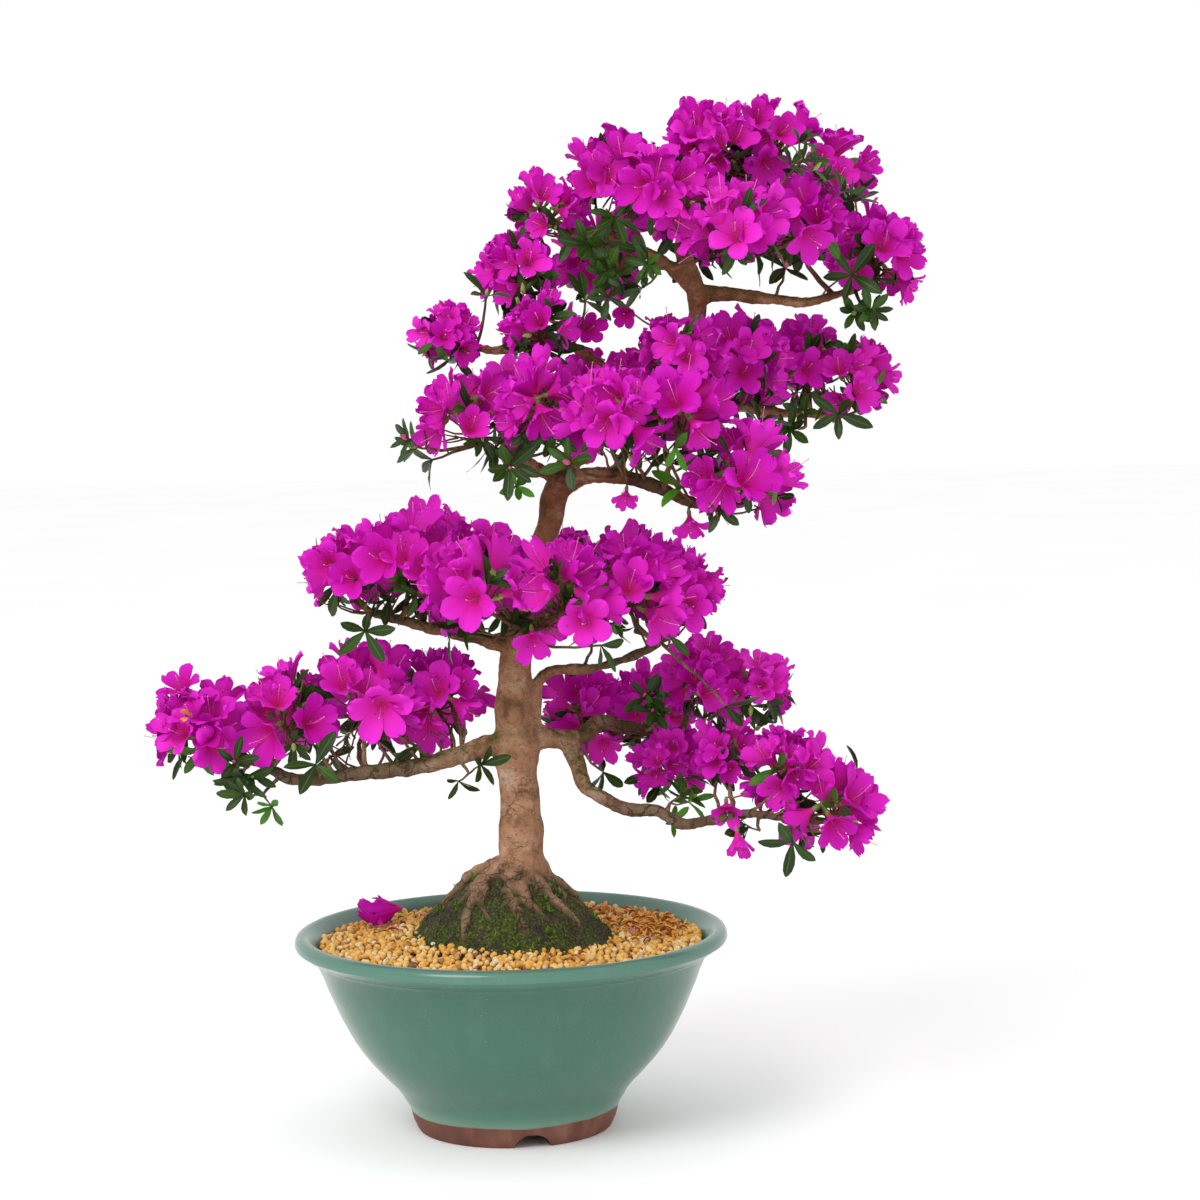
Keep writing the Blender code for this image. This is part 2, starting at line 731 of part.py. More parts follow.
def twelve_sided(head, number):
    """The sides of a head's twelve-sided core, each as its direction and its five corners.

    The sides face along the corners of a twenty-faced ball, turned by a random draw.
    """
    draw = random.Random(SEED * 1000 + number)
    turn = Matrix.Rotation(draw.uniform(0, math.tau), 4, "X")
    turn = Matrix.Rotation(draw.uniform(0, math.tau), 4, "Z") @ turn
    bm = bmesh.new()
    bmesh.ops.create_icosphere(bm, subdivisions=1, radius=1.0, matrix=turn)
    centre = at(*head[:3])
    reach = head[3] * CORE_SHARE * MM
    corners = [centre + face.calc_center_median().normalized() * reach for face in bm.faces]
    sides = []
    for vert in bm.verts:
        out = vert.co.normalized()
        across = facing(out, 0.0).inverted()
        ring = []
        for face in vert.link_faces:
            local = across @ face.calc_center_median()
            ring.append((math.atan2(local.y, local.x), face.index))
        sides.append((out, [index for _, index in sorted(ring)]))
    bm.free()
    return corners, sides


def seat_bloom(base, head, out, size, others, limbs):
    """The points of one bloom, smaller where its neighbours leave less room, or nothing."""
    centre = at(*head[:3])
    place = centre + out * head[3] * MM
    if out.z < BLOOM_LOWEST or inside_other_head(place, head):
        return None
    frame = Matrix.Translation(place) @ facing(out, 0.0)
    depth = head[3] * (1 - CORE_FACE_SHARE * CORE_SHARE)
    faces = bloom_faces()
    front = [face for face in faces if face[0] == 3 * LOBES]
    for share in BLOOM_SIZES:
        radius = min(BLOOM_SHARE * head[3], LARGEST_BLOOM) * size * share
        points = bloom_points(base, frame, radius, depth)
        whole = scaled_surface(points, faces, place)
        open_side = scaled_surface(points, front, place)
        if not any(whole.overlap(other) for other in others) and not open_side.overlap(limbs):
            return points
    return None


def head_object(group, head, number, others, limbs, pieces):
    """One bloom head: a twelve-sided core with a bloom on each side that has room."""
    corners, sides = twelve_sided(head, number)
    draw = random.Random(SEED * 3000 + number)
    bm = bmesh.new()
    ring = [bm.verts.new(corner) for corner in corners]
    for out, side in sides:
        base = [corners[index] for index in side]
        size = draw.uniform(*BLOOM_VARIATION)
        points = seat_bloom(base, head, out, size, others, limbs)
        if points is None:
            bm.faces.new([ring[index] for index in side])
            continue
        verts = [ring[index] for index in side]
        verts += [bm.verts.new(point) for point in points[LOBES:]]
        for face in bloom_faces():
            bm.faces.new([verts[index] for index in face])
    bmesh.ops.triangulate(bm, faces=bm.faces)
    bmesh.ops.recalc_face_normals(bm, faces=bm.faces)
    return object_from_bmesh(group + "_head", bm, pieces)


def make_bloom_groups(parts, tree_space, surface):
    """One node for each group: its heads, and a stem from head to head."""
    limbs = surface_of(tree_space)
    taken = []
    made = []
    number = 0
    for group, heads in HEADS.items():
        pieces = new_collection(group + "_pieces")
        for head in heads:
            number += 1
            bloom_head = head_object(group, head, number, taken, limbs, pieces)
            taken.append(surface_of(bloom_head))
        base = pieces.objects[0]
        pieces.objects.unlink(base)
        parts.objects.link(base)
        base.name = "blooms_" + group
        for start, end in zip(heads, heads[1:]):
            route = [at(*start[:3]), at(*end[:3])]
            tube(group + "_stem", route, [CORE_STEM_RADIUS] * 2, 0, 0.0, pieces)
        join_all(base, pieces)
        cut(base, tree_space, "MANIFOLD")
        keep_largest_body(base)
        finish(base, surface)
        made.append(base)
    return made


def leaf_points(matrix, length, width):
    """The two edges, the keel and the tip of a folded leaf that runs along +X."""
    fold = LEAF_FOLD * width
    middle = LEAF_WIDEST * length
    spots = (
        (middle, width / 2, fold),
        (middle, -width / 2, fold),
        (middle, 0.0, -LEAF_THICKNESS),
        (length, 0.0, -LEAF_DROOP * length),
    )
    return [matrix @ (Vector(spot) * MM) for spot in spots]


def whorl_frames(number, twig):
    """The place of a whorl and the turn of each of its leaves about the end of its twig."""
    draw = random.Random(SEED * 2000 + number)
    start, end = twig[1][0], twig[1][-1]
    out = (end - start).normalized()
    out.z = max(out.z, LOWEST_WHORL)
    frame = Matrix.Translation(end) @ facing(out.normalized(), draw.uniform(0, math.tau))
    leaves = []
    for leaf in range(LEAVES_PER_WHORL):
        angle = math.tau * leaf / LEAVES_PER_WHORL + draw.uniform(-LEAF_SPREAD, LEAF_SPREAD)
        around = Matrix.Rotation(angle, 4, "Z")
        lift = Matrix.Rotation(-math.radians(draw.uniform(*LEAF_LIFT)), 4, "Y")
        size = draw.uniform(*LEAF_SIZES)
        leaves.append((frame @ around @ lift, LEAF_LENGTH * size, LEAF_WIDTH * size))
    return frame, leaves


def leaf_faces():
    """A leaf's blade, and the faces that join it to the hub.

    Places 0 to 4 are the hub's top, its two valleys and its two rim points, and
    places 5 to 8 are the leaf's left edge, right edge, keel and tip.
    """
    blade = [(5, 6, 8), (7, 8, 6), (7, 5, 8)]
    root = [(0, 1, 6), (0, 6, 5), (0, 5, 2), (3, 6, 1), (3, 7, 6), (3, 4, 7), (4, 5, 7), (4, 2, 5)]
    return blade, root


def leaf_is_clear(points, middle, taken, limbs):
    """Whether a leaf stays clear of the blooms and whorls, and its blade of the limbs."""
    blade, root = leaf_faces()
    verts = [middle + (point - middle) * LEAF_CLEAR_SCALE for point in points]
    if BVHTree.FromPolygons(verts, blade).overlap(limbs):
        return False
    shape = BVHTree.FromPolygons(verts, blade + root)
    return not any(shape.overlap(other) for other in taken)


def whorl_mesh(frame, leaves, taken, limbs):
    """Leaves that grow out of the sides of a small hub, with a socket for the twig under it."""
    bm = bmesh.new()
    count = len(leaves)
    top = bm.verts.new(frame @ polar(0, 0, HUB_RADIUS))
    valleys = []
    rim = []
    socket = []
    for number in range(count):
        angle = math.tau * (number - 0.5) / count
        valleys.append(bm.verts.new(frame @ polar(HUB_RADIUS, angle, 0)))
        rim.append(bm.verts.new(frame @ polar(SOCKET_RADIUS, angle, -HUB_RADIUS)))
        socket.append(bm.verts.new(frame @ polar(SOCKET_RADIUS, angle, SOCKET_TOP)))
    bm.faces.new(socket)
    blade, root = leaf_faces()
    for number, leaf in enumerate(leaves):
        following = (number + 1) % count
        bm.faces.new((rim[number], rim[following], socket[following], socket[number]))
        hub = [top, valleys[number], valleys[following], rim[number], rim[following]]
        points = leaf_points(*leaf)
        if leaf_is_clear([vert.co for vert in hub] + points, frame.translation, taken, limbs):
            verts = hub + [bm.verts.new(point) for point in points]
            for face in blade + root:
                bm.faces.new([verts[index] for index in face])
        else:
            bm.faces.new((hub[0], hub[1], hub[2]))
            bm.faces.new((hub[4], hub[3], hub[1], hub[2]))
    bmesh.ops.triangulate(bm, faces=bm.faces)
    bmesh.ops.recalc_face_normals(bm, faces=bm.faces)
    return bm


def make_leaf_whorls(parts, tree_space, blooms, twigs, surface):
    """One node for each whorl of leaves, seated on the end of its twig."""
    taken = [surface_of(bloom) for bloom in blooms]
    limbs = surface_of(tree_space)
    for number, twig in enumerate(twigs):
        frame, leaves = whorl_frames(number, twig)
        bm = whorl_mesh(frame, leaves, taken, limbs)
        whorl = object_from_bmesh("leaf_whorl_" + str(number + 1), bm, parts)
        if surface_of(whorl).overlap(limbs):
            cut(whorl, tree_space, "MANIFOLD")
            keep_largest_body(whorl)
        finish(whorl, surface)
        taken.append(surface_of(whorl))


def make_fallen_bloom(parts, surface):
    """A wilted bloom with folded lobes, lying on its side on the gravel."""
    bm = bmesh.new()
    ring = [math.tau * lobe / LOBES for lobe in range(LOBES)]
    base = [polar(FALLEN_TUBE_RADIUS, angle, -FALLEN_DEPTH) for angle in ring]
    points = bloom_points(base, Matrix.Identity(4), FALLEN_RADIUS, FALLEN_DEPTH, FALLEN_CURL)
    verts = [bm.verts.new(point) for point in points]
    bm.faces.new(verts[:LOBES])
    for face in bloom_faces():
        bm.faces.new([verts[index] for index in face])
    bmesh.ops.triangulate(bm, faces=bm.faces)
    bmesh.ops.recalc_face_normals(bm, faces=bm.faces)
    lean = Matrix.Rotation(FALLEN_LEAN, 4, "X") @ Matrix.Rotation(FALLEN_TURN, 4, "Z")
    bmesh.ops.transform(bm, matrix=lean, verts=bm.verts)
    lowest = min(vert.co.z for vert in bm.verts)
    place = at(*FALLEN_SPOT, GRAVEL_LEVEL)
    place.z += GAP - lowest
    bmesh.ops.translate(bm, vec=place, verts=bm.verts)
    bloom = object_from_bmesh("fallen_bloom", bm, parts)
    finish(bloom, surface)


def main():
    clear_scene()
    parts = new_collection(COLLECTION_NAME)
    cutters = new_collection("cutters")
    tubes, twigs = tree_tubes()
    tree = fused_tree("tree", tubes, 0.0, parts)
    tree_space = fused_tree("tree_space", tubes, GAP, cutters)
    tree_space.hide_render = True
    tree_space.display_type = "WIRE"
    finish(tree, material("bark", (0.3, 0.15, 0.08), 0.85))
    make_pot(parts, cutters)
    make_drain_mesh(parts, cutters)
    make_soil(parts, tree_space)
    make_gravel(parts, tree_space)
    make_moss_mound(parts, tree_space)
    petals = material("magenta_petals", (0.6, 0.005, 0.45), 0.55)
    blooms = make_bloom_groups(parts, tree_space, petals)
    leaves = material("dark_leaves", (0.03, 0.09, 0.015), 0.35)
    make_leaf_whorls(parts, tree_space, blooms, twigs, leaves)
    make_fallen_bloom(parts, petals)


main()
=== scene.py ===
"""The look of a satsuki azalea bonsai in flower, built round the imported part.

Routes, heads and radii are in millimetres from the pot's axis and the floor, as they
are in the part's source. The function at() moves them into the frame, in metres.
"""

import math
import random

import bmesh
import bpy
import numpy as np
from mathutils import Matrix, Vector, noise


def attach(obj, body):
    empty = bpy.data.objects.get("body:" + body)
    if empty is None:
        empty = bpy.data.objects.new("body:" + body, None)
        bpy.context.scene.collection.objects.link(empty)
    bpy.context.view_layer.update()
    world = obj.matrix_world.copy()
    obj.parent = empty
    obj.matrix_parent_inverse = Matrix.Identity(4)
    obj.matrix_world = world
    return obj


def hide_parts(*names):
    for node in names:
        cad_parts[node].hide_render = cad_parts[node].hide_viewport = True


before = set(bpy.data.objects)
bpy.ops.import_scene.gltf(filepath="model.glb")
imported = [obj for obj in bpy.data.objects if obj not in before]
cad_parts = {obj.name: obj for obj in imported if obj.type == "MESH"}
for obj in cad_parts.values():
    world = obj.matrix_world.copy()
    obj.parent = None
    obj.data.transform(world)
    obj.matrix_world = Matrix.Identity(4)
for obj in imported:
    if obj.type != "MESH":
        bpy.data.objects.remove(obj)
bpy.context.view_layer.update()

MM = 0.001
SEED = 41
POT_AXIS = Vector((-0.028, 0.0, 0.0))

# Camera: height and distance in metres from the pot's axis, angles in degrees
CAMERA_SPOT = (0.066, -2.1, 0.5455)
CAMERA_PITCH = 4.9
CAMERA_ROLL = -1.1
CAMERA_LENS = 91.9
SENSOR_WIDTH = 36

# Roots that spread over the mound: compass angle in degrees, reach and thickness
ROOTS = ((-124, 60, 8), (-88, 54, 7), (-48, 60, 8.5), (-6, 54, 7.5), (44, 58, 8.5), (92, 56, 8),
         (140, 60, 8), (188, 62, 8.5))
ROOT_SWAY = 0.22
ROOT_DIVE = 4.0
ROOT_TAPER = 0.4
ROOT_STEPS = 8
THIN_ROOTS = 16
TRUNK_FOOT = 4

# The trunk's radius at some heights: it narrows above the roots and again above the first limbs
TRUNK_GIRTH = ((150, 16), (205, 14.8), (232, 13.2), (250, 14.2), (266, 15.6), (288, 13.0), (312, 12.0),
               (345, 11.4), (380, 9.6), (410, 8.8), (442, 8.6))

# Below this height the trunk flares into its roots, by so much for each millimetre
ROOT_TOP = 188
FLARE = 0.4

# How much darker the limbs get away from the trunk, and between which heights
LIMB_STAIN = 0.85
STAIN_LOW = 205
STAIN_HIGH = 450

# The spacing of points along the limbs and roots, and the size of the cells that fuse them
LIMB_SPACING = 5
ROOT_SPACING = 3
LIMB_WANDER = 1.3
BARK_VOXEL = 1.55
TRUNK_SIDES = 28
LIMB_SIDES = 16
ROOT_SIDES = 12

# Limbs: name, radius at the start and at the end, and the route; the trunk's own girth is above
LIMBS = (
    ("trunk", 16, 8.6, ((9, 0, 108), (9, 0, 150), (8, 0, 185), (8, 0, 221), (6, 0, 254), (5, 0, 283),
        (7, 0, 325), (11, 0, 353), (19, 0, 380), (28, 0, 404), (37, 0, 442))),
    ("leader", 8.6, 5, ((28, 0, 404), (37, 0, 436), (49, 8, 464), (68, 20, 485), (96, 25, 509),
        (121, 25, 532), (136, 18, 555), (134, 8, 583), (127, 5, 604), (132, 5, 628), (146, 6, 655))),
    ("lower_left", 7.5, 3, ((6, 2, 268), (-18, -10, 266), (-59, -25, 256), (-100, -30, 253),
        (-141, -30, 249), (-162, -25, 256), (-190, -22, 268))),
    ("right_back", 8.2, 3, ((6, 0, 277), (26, 15, 269), (50, 30, 266), (64, 40, 276), (82, 50, 271),
        (121, 56, 261), (149, 55, 254))),
    ("right_low", 6, 3, ((42, 24, 268), (48, 12, 252), (55, -8, 237), (80, -28, 225), (101, -36, 224),
        (121, -42, 215), (158, -46, 222), (190, -46, 219))),
    ("riser", 5, 2.6, ((17, 8, 262), (20, 8, 292), (22, 8, 309), (34, 2, 318), (58, -5, 319),
        (82, -5, 324), (107, -8, 336))),
    ("middle_left_limb", 5.5, 3, ((8, 0, 335), (-20, -12, 342), (-55, -20, 352), (-90, -20, 362))),
    ("middle_front_limb", 4.5, 2.6, ((8, -2, 338), (8, -30, 344), (12, -60, 352))),
    ("middle_back_limb", 5, 2.6, ((10, 2, 342), (12, 35, 348), (18, 66, 358))),
    ("upper_fork", 7, 3, ((36, 0, 440), (49, -15, 449), (68, -30, 452), (94, -46, 449), (127, -62, 436),
        (148, -68, 430))),
    ("upper_left_limb", 5, 2.6, ((40, 0, 448), (22, -22, 460), (4, -34, 468), (-12, -40, 476))),
    ("far_right_limb", 5.5, 2.6, ((100, 25, 513), (138, 38, 502), (166, 44, 495), (202, 46, 490),
        (236, 40, 488))),
    ("left_tier_limb", 4.5, 2.4, ((94, 24, 508), (76, 10, 520), (56, -10, 536), (35, -20, 540),
        (2, -25, 538), (-20, -28, 541))),
    ("upper_back_limb", 5, 2.6, ((72, 20, 489), (78, 48, 486), (88, 72, 486))),
    ("crown_right_limb", 5.5, 2.6, ((135, 10, 572), (152, 10, 574), (180, 14, 570), (208, 20, 567),
        (236, 22, 572), (256, 20, 580))),
    ("crown_left_limb", 5, 2.4, ((132, 6, 582), (111, 0, 597), (84, -5, 610), (57, -10, 618))),
    ("crown_front_limb", 4.5, 2.4, ((129, 5, 600), (134, -22, 602), (142, -45, 604))),
    ("crown_back_limb", 4.5, 2.4, ((129, 6, 602), (136, 32, 606), (146, 56, 610))),
)

# Bloom heads: the middles and radii of the rounded clusters that make each group
HEADS = {
    "lower_left": ((-205, -25, 283, 31), (-149, -22, 290, 33), (-97, -12, 300, 36), (-48, 15, 297, 32),
                   (-98, 50, 290, 30), (-152, 40, 288, 28)),
    "middle_left": ((-103, -20, 384, 30), (-63, -33, 389, 36)),
    "middle_front": ((-12, -78, 377, 36), (42, -76, 373, 34)),
    "middle_right": ((86, -44, 375, 34), (118, -18, 370, 28)),
    "middle_back": ((-50, 36, 395, 31), (-14, 72, 377, 32), (42, 78, 374, 32), (90, 42, 379, 30)),
    "right_back": ((54, 82, 278, 28), (100, 92, 274, 29), (112, 38, 245, 24)),
    "right_middle": ((138, 28, 303, 28), (172, 24, 299, 25)),
    "lower_right": ((152, -4, 259, 21), (192, -34, 249, 28), (220, -44, 223, 30)),
    "upper_left": ((-18, -50, 492, 30), (30, -68, 497, 31)),
    "upper_front": ((77, -86, 492, 33), (121, -80, 488, 33), (162, -72, 452, 34)),
    "shoulder": ((123, -34, 531, 28), (169, 8, 527, 28)),
    "upper_back": ((12, 22, 497, 28), (62, 62, 500, 31), (112, 84, 506, 31), (160, 76, 506, 29)),
    "far_right": ((214, 43, 523, 28), (245, 35, 512, 28)),
    "left_tier": ((-33, -30, 548, 20), (30, -50, 552, 24), (15, -20, 590, 26)),
    "crown_left": ((36, -15, 630, 24), (83, 0, 653, 30)),
    "crown_front": ((116, -52, 636, 32), (158, -70, 614, 32)),
    "crown_top": ((149, 8, 673, 29), (191, 20, 674, 29)),
    "crown_right": ((231, 22, 655, 29), (206, -40, 619, 27), (258, 14, 597, 29)),
    "crown_back": ((70, 48, 598, 29), (120, 66, 640, 31), (168, 76, 634, 32), (216, 70, 622, 28)),
}
BLOOM_RADIUS = 20
BLOOM_SHARE = 0.62
BLOOM_LOWEST = -0.62
INSIDE_SHARE = 1.02
LOBES = 5
STAMENS = 5
FILAMENT_STEPS = 3
BASE_DEPTH = 23
CALYX_RINGS = ((0.8, -24), (2.1, -19.5), (1.9, -16.2))
BUD_RINGS = ((0.9, 0), (1.9, 2.4), (2.1, 4.6), (1.4, 7.4), (0.3, 10.2))

# Side branches to a head, bare twigs under it, and how far aslant those start
SIDE_BRANCHES = 3
BRUSH_TWIGS = 5
BRUSH_SLANT = 34
TWIG_SPACING = 7
TWIG_STAIN = 0.38

# Below this direction a gap between blooms counts as the head's underside
UNDERSIDE = -0.15

# Single blooms that hang or stand out of the heads: group, place and the way they face
SINGLE_BLOOMS = (
    ("lower_right", (157, -58, 199), (0.1, -0.5, -0.8), 17),
    ("lower_right", (149, -52, 223), (0.0, -0.7, -0.45), 15),
    ("upper_front", (127, -72, 416), (0.05, -0.5, -0.85), 15),
    ("upper_front", (84, -62, 436), (-0.1, -0.6, -0.7), 12),
    ("crown_right", (284, 12, 574), (0.75, -0.3, -0.6), 17),
    ("crown_top", (158, -4, 694), (0.15, -0.35, 0.9), 15),
    ("lower_left", (-222, -30, 318), (-0.35, -0.5, 0.8), 17),
    ("lower_left", (-233, -32, 300), (-0.95, -0.3, 0.15), 17),
    ("right_back", (66, 44, 256), (-0.1, -0.75, -0.5), 16),
    ("middle_front", (22, -88, 344), (0.1, -0.75, -0.6), 17),
    ("upper_back", (92, 24, 520), (-0.5, -0.75, 0.3), 16),
    ("crown_left", (60, 4, 586), (-0.3, -0.85, 0.1), 15),
    ("crown_left", (86, -20, 560), (-0.2, -0.9, -0.2), 14),
    ("left_tier", (64, -22, 552), (0.3, -0.9, 0.1), 15),
)

# Patches of leaves that show between the blooms: group, place and number of whorls
LEAFY_PATCHES = (
    ("crown_right", 206, -62, 660, 4),
    ("crown_right", 226, -50, 634, 3),
    ("crown_left", 70, -50, 618, 4),
    ("crown_left", 76, -48, 584, 4),
    ("crown_front", 110, -60, 590, 3),
    ("upper_left", -48, -60, 474, 3),
    ("upper_left", 14, -72, 460, 2),
    ("upper_front", 145, -84, 424, 2),
    ("right_back", 107, 18, 290, 4),
    ("lower_right", 146, 0, 246, 3),
    ("lower_right", 172, -30, 208, 2),
    ("right_back", 112, 10, 222, 3),
    ("lower_left", -182, -40, 256, 3),
    ("lower_left", -166, -36, 240, 2),
    ("lower_left", -26, -22, 250, 2),
    ("far_right", 202, 10, 482, 3),
    ("crown_right", 252, -4, 562, 3),
    ("left_tier", 20, -44, 566, 3),
)

# Leaf whorls of the part: where each sits under, between or beside the bloom heads
WHORLS = (
    (-178, -40, 252), (-196, 8, 262), (-128, -50, 262), (-74, -30, 262), (-62, 44, 262),
    (-124, 14, 258), (-92, -52, 352), (-34, -66, 350), (66, -88, 343), (112, -52, 345),
    (-36, 8, 352), (60, 34, 345), (20, 104, 350), (150, -32, 294), (154, 62, 246),
    (66, 44, 240), (172, 12, 272), (192, -66, 206), (240, -24, 246), (-44, -46, 466),
    (8, -92, 462), (48, -96, 464), (122, -76, 446), (176, -30, 486), (10, 50, 470),
    (90, 96, 470), (232, 8, 490), (-6, -50, 574), (60, -36, 570), (52, -34, 612),
    (196, -8, 590), (240, -24, 584), (140, 92, 602), (250, 58, 636),
)
LEAVES_PER_WHORL = 5
LEAF_LENGTH = 26
LEAF_WIDTH = 9

# How far a whorl's leaves rise, in degrees: under a head, between its blooms and in a patch
LOW_RISE = (5, 48)
HIGH_RISE = (35, 75)
PATCH_RISE = (15, 60)

# Material slots after the first one: in the petals' skins, and in the leaves' skins
THREAD, ANTHER, STYLE, CALYX = 1, 2, 3, 4
GREEN_BUD, PINK_BUD = 1, 2

# The wilted bloom that lies on the gravel, and the withered lobes at the tip of the lower left limb
FALLEN_SPOT = (-99, 56)
FALLEN_HEIGHT = 140
FALLEN_CLEARING = 16
WILTED_TONE = -0.6
WITHERED_SPOT = (-213, -58, 298)

# Pot profile from the crest of the lip down to the foot, then up the inside
POT_OUTSIDE = (
    (141.5, 137.7), (143.5, 138.3), (146, 138.0), (148.3, 136.8), (149.6, 134.6), (150, 131.8),
    (149.3, 130.0), (147, 128.7), (143, 125.6), (139.6, 123.8), (137.2, 122.2), (135.4, 120),
    (131, 110), (128.2, 102), (124.5, 93.5), (120.5, 84), (116, 75), (111.2, 66), (106, 58),
    (100.4, 50.6), (94.5, 44), (89.4, 38.4), (85, 34), (82, 30.6), (80.6, 28.8), (79.2, 27),
    (77.4, 23.6), (74.9, 19.6), (73.3, 17), (72.3, 14), (70.6, 7), (68.2, 2), (67.2, 0.5), (66, 0),
)
POT_UNDERSIDE = ((56, 0), (55, 0.6), (54, 8.4), (53, 9), (14, 9), (13, 9.8))
POT_INSIDE = ((13, 18), (14, 19), (64, 19), (67, 20.5), (106, 70), (126, 114), (131, 124),
              (134.6, 130.5), (137.5, 134.6))
POT_STEPS = 160
POT_SHARP_ANGLE = 38
NOTCH_ANGLES = (-79, 41, 161)
NOTCH_SPAN = 27
NOTCH_HEIGHT = 9.5
NOTCH_REACH = (48, 80)

# The gravel: its bed's profile, its level, and the grains, whose sizes are radii
FILL_LOW = 119
GRAVEL_INNER = 65
GRAVEL_OUTER = 131
GRAVEL_LEVEL = 128.6
BED_PROFILE = ((GRAVEL_INNER - 3, FILL_LOW), (GRAVEL_INNER - 3, 126), (96, 126.3), (122, 126.6),
               (130, 127.6), (127.4, FILL_LOW))
BED_STEPS = 96
# The bed's tone lies just under the ramp's stop at 0.84: a dark orange-brown that is painted shadow in the
# gaps between the grains.
BED_PAINTED_SHADOW_TONE = 0.83
GRAIN_SPACING = 4.0
GRAIN_TRIES = 26000
GRAIN_SIZES = (1.9, 2.9)
DRIED_TRIES = 210

MOUND_RADIUS = 72
MOUND_TOP_RADIUS = 13
MOUND_TOP = 183
MOUND_EDGE = 131
MOUND_BULGE = 1.15
MOUND_HOLE = 6
MOUND_SKIRT = 1.5
MOUND_WAVE = 0.035
MOUND_RINGS = 58
MOUND_STEPS = 168
MOSS_TRIES = 9000
MOSS_TUFTS = 44


def at(x, y, z):
    """A point given in millimetres from the pot's axis, in metres in the frame."""
    return POT_AXIS + Vector((x, y, z)) * MM


def in_frame(points):
    """The same for an array of points."""
    return np.asarray(points) * MM + np.array(POT_AXIS)


def placed(points, matrix):
    """Points in millimetres, turned and moved by a matrix whose place is in metres."""
    turn = np.array(matrix.to_3x3())
    return np.asarray(points).reshape(-1, 3) * MM @ turn.T + np.array(matrix.translation)


def polar(radius, angle):
    return radius * math.cos(angle), radius * math.sin(angle)


def facing(direction, spin=0.0):
    """A rotation that turns +Z to a direction, after a spin about it."""
    return direction.to_track_quat("Z", "Y").to_matrix().to_4x4() @ Matrix.Rotation(spin, 4, "Z")


def any_angle(draw):
    return draw.uniform(0, math.tau)


def loose(draw, low=-1.0, high=1.0):
    """A vector drawn from -1 to 1 along X and Y, and between two limits along Z."""
    return Vector((draw.uniform(-1, 1), draw.uniform(-1, 1), draw.uniform(low, high)))


def jittered(direction, draw, amount):
    return (direction + loose(draw) * amount).normalized()


def new_object(name, data):
    """An object in the scene for a mesh, a light or a camera."""
    made = bpy.data.objects.new(name, data)
    bpy.context.scene.collection.objects.link(made)
    return made


def paint(mesh, shades):
    """Store the shade of each point of a mesh, for its material to read."""
    layer = mesh.attributes.get("shade") or mesh.attributes.new("shade", "FLOAT_COLOR", "POINT")
    layer.data.foreach_set("color", shades.ravel())


class Skin:
    """Collects the points, faces, slots and shades of many small shapes for one mesh."""

    def __init__(self):
        self.points = []
        self.shades = []
        self.corners = []
        self.lengths = []
        self.slots = []
        self.count = 0

    def add(self, points, faces, slot=0, shades=0.5):
        points = np.asarray(points, dtype=float).reshape(-1, 3)
        faces = np.asarray(faces) + self.count
        self.points.append(points)
        self.shades.append(np.broadcast_to(shades, (len(points), 4)))
        self.corners.append(faces.ravel())
        self.lengths.append(np.full(len(faces), faces.shape[1]))
        self.slots.append(np.full(len(faces), slot))
        self.count += len(points)

    def build(self, name, materials):
        points = np.concatenate(self.points)
        corners = np.concatenate(self.corners)
        lengths = np.concatenate(self.lengths)
        mesh = bpy.data.meshes.new(name)
        mesh.vertices.add(len(points))
        mesh.vertices.foreach_set("co", points.ravel())
        mesh.loops.add(len(corners))
        mesh.loops.foreach_set("vertex_index", corners)
        mesh.polygons.add(len(lengths))
        mesh.polygons.foreach_set("loop_start", np.cumsum(lengths) - lengths)
        mesh.polygons.foreach_set("material_index", np.concatenate(self.slots))
        paint(mesh, np.concatenate(self.shades))
        mesh.update(calc_edges=True)
        mesh.validate()
        for material in materials:
            mesh.materials.append(material)
        mesh.shade_smooth()
        return new_object(name, mesh)


def grid_faces(rows, columns, wrap=False):
    """Quads between the points of a grid, whose columns may close into a ring."""
    last = columns if wrap else columns - 1
    row, column = np.meshgrid(np.arange(rows - 1), np.arange(last), indexing="ij")
    following = (column + 1) % columns
    low = row * columns
    high = low + columns
    return np.stack([low + column, low + following, high + following, high + column], -1).reshape(-1, 4)


def shade_grid(along, across, tone, last):
    """Shades for a grid of points: its shares along and across, a tone and one value more."""
    shades = np.empty((len(along), len(across), 4))
    shades[:, :, 0] = along[:, None]
    shades[:, :, 1] = (across[None, :] + 1) / 2
    shades[:, :, 2] = tone
    shades[:, :, 3] = last
    return shades.reshape(-1, 4)


def smooth_route(points, spacing):
    """Points at an even spacing on a smooth curve through a route."""
    ends = [points[0] * 2 - points[1]] + list(points) + [points[-1] * 2 - points[-2]]
    route = []
    for before, start, end, after in zip(ends, ends[1:], ends[2:], ends[3:]):
        count = max(1, round((end - start).length / spacing))
        for step in range(count):
            t = step / count
            route.append(0.5 * (2 * start + (end - before) * t
                                + (2 * before - 5 * start + 4 * end - after) * t ** 2
                                + (3 * start - before - 3 * end + after) * t ** 3))
    route.append(points[-1])
    return route


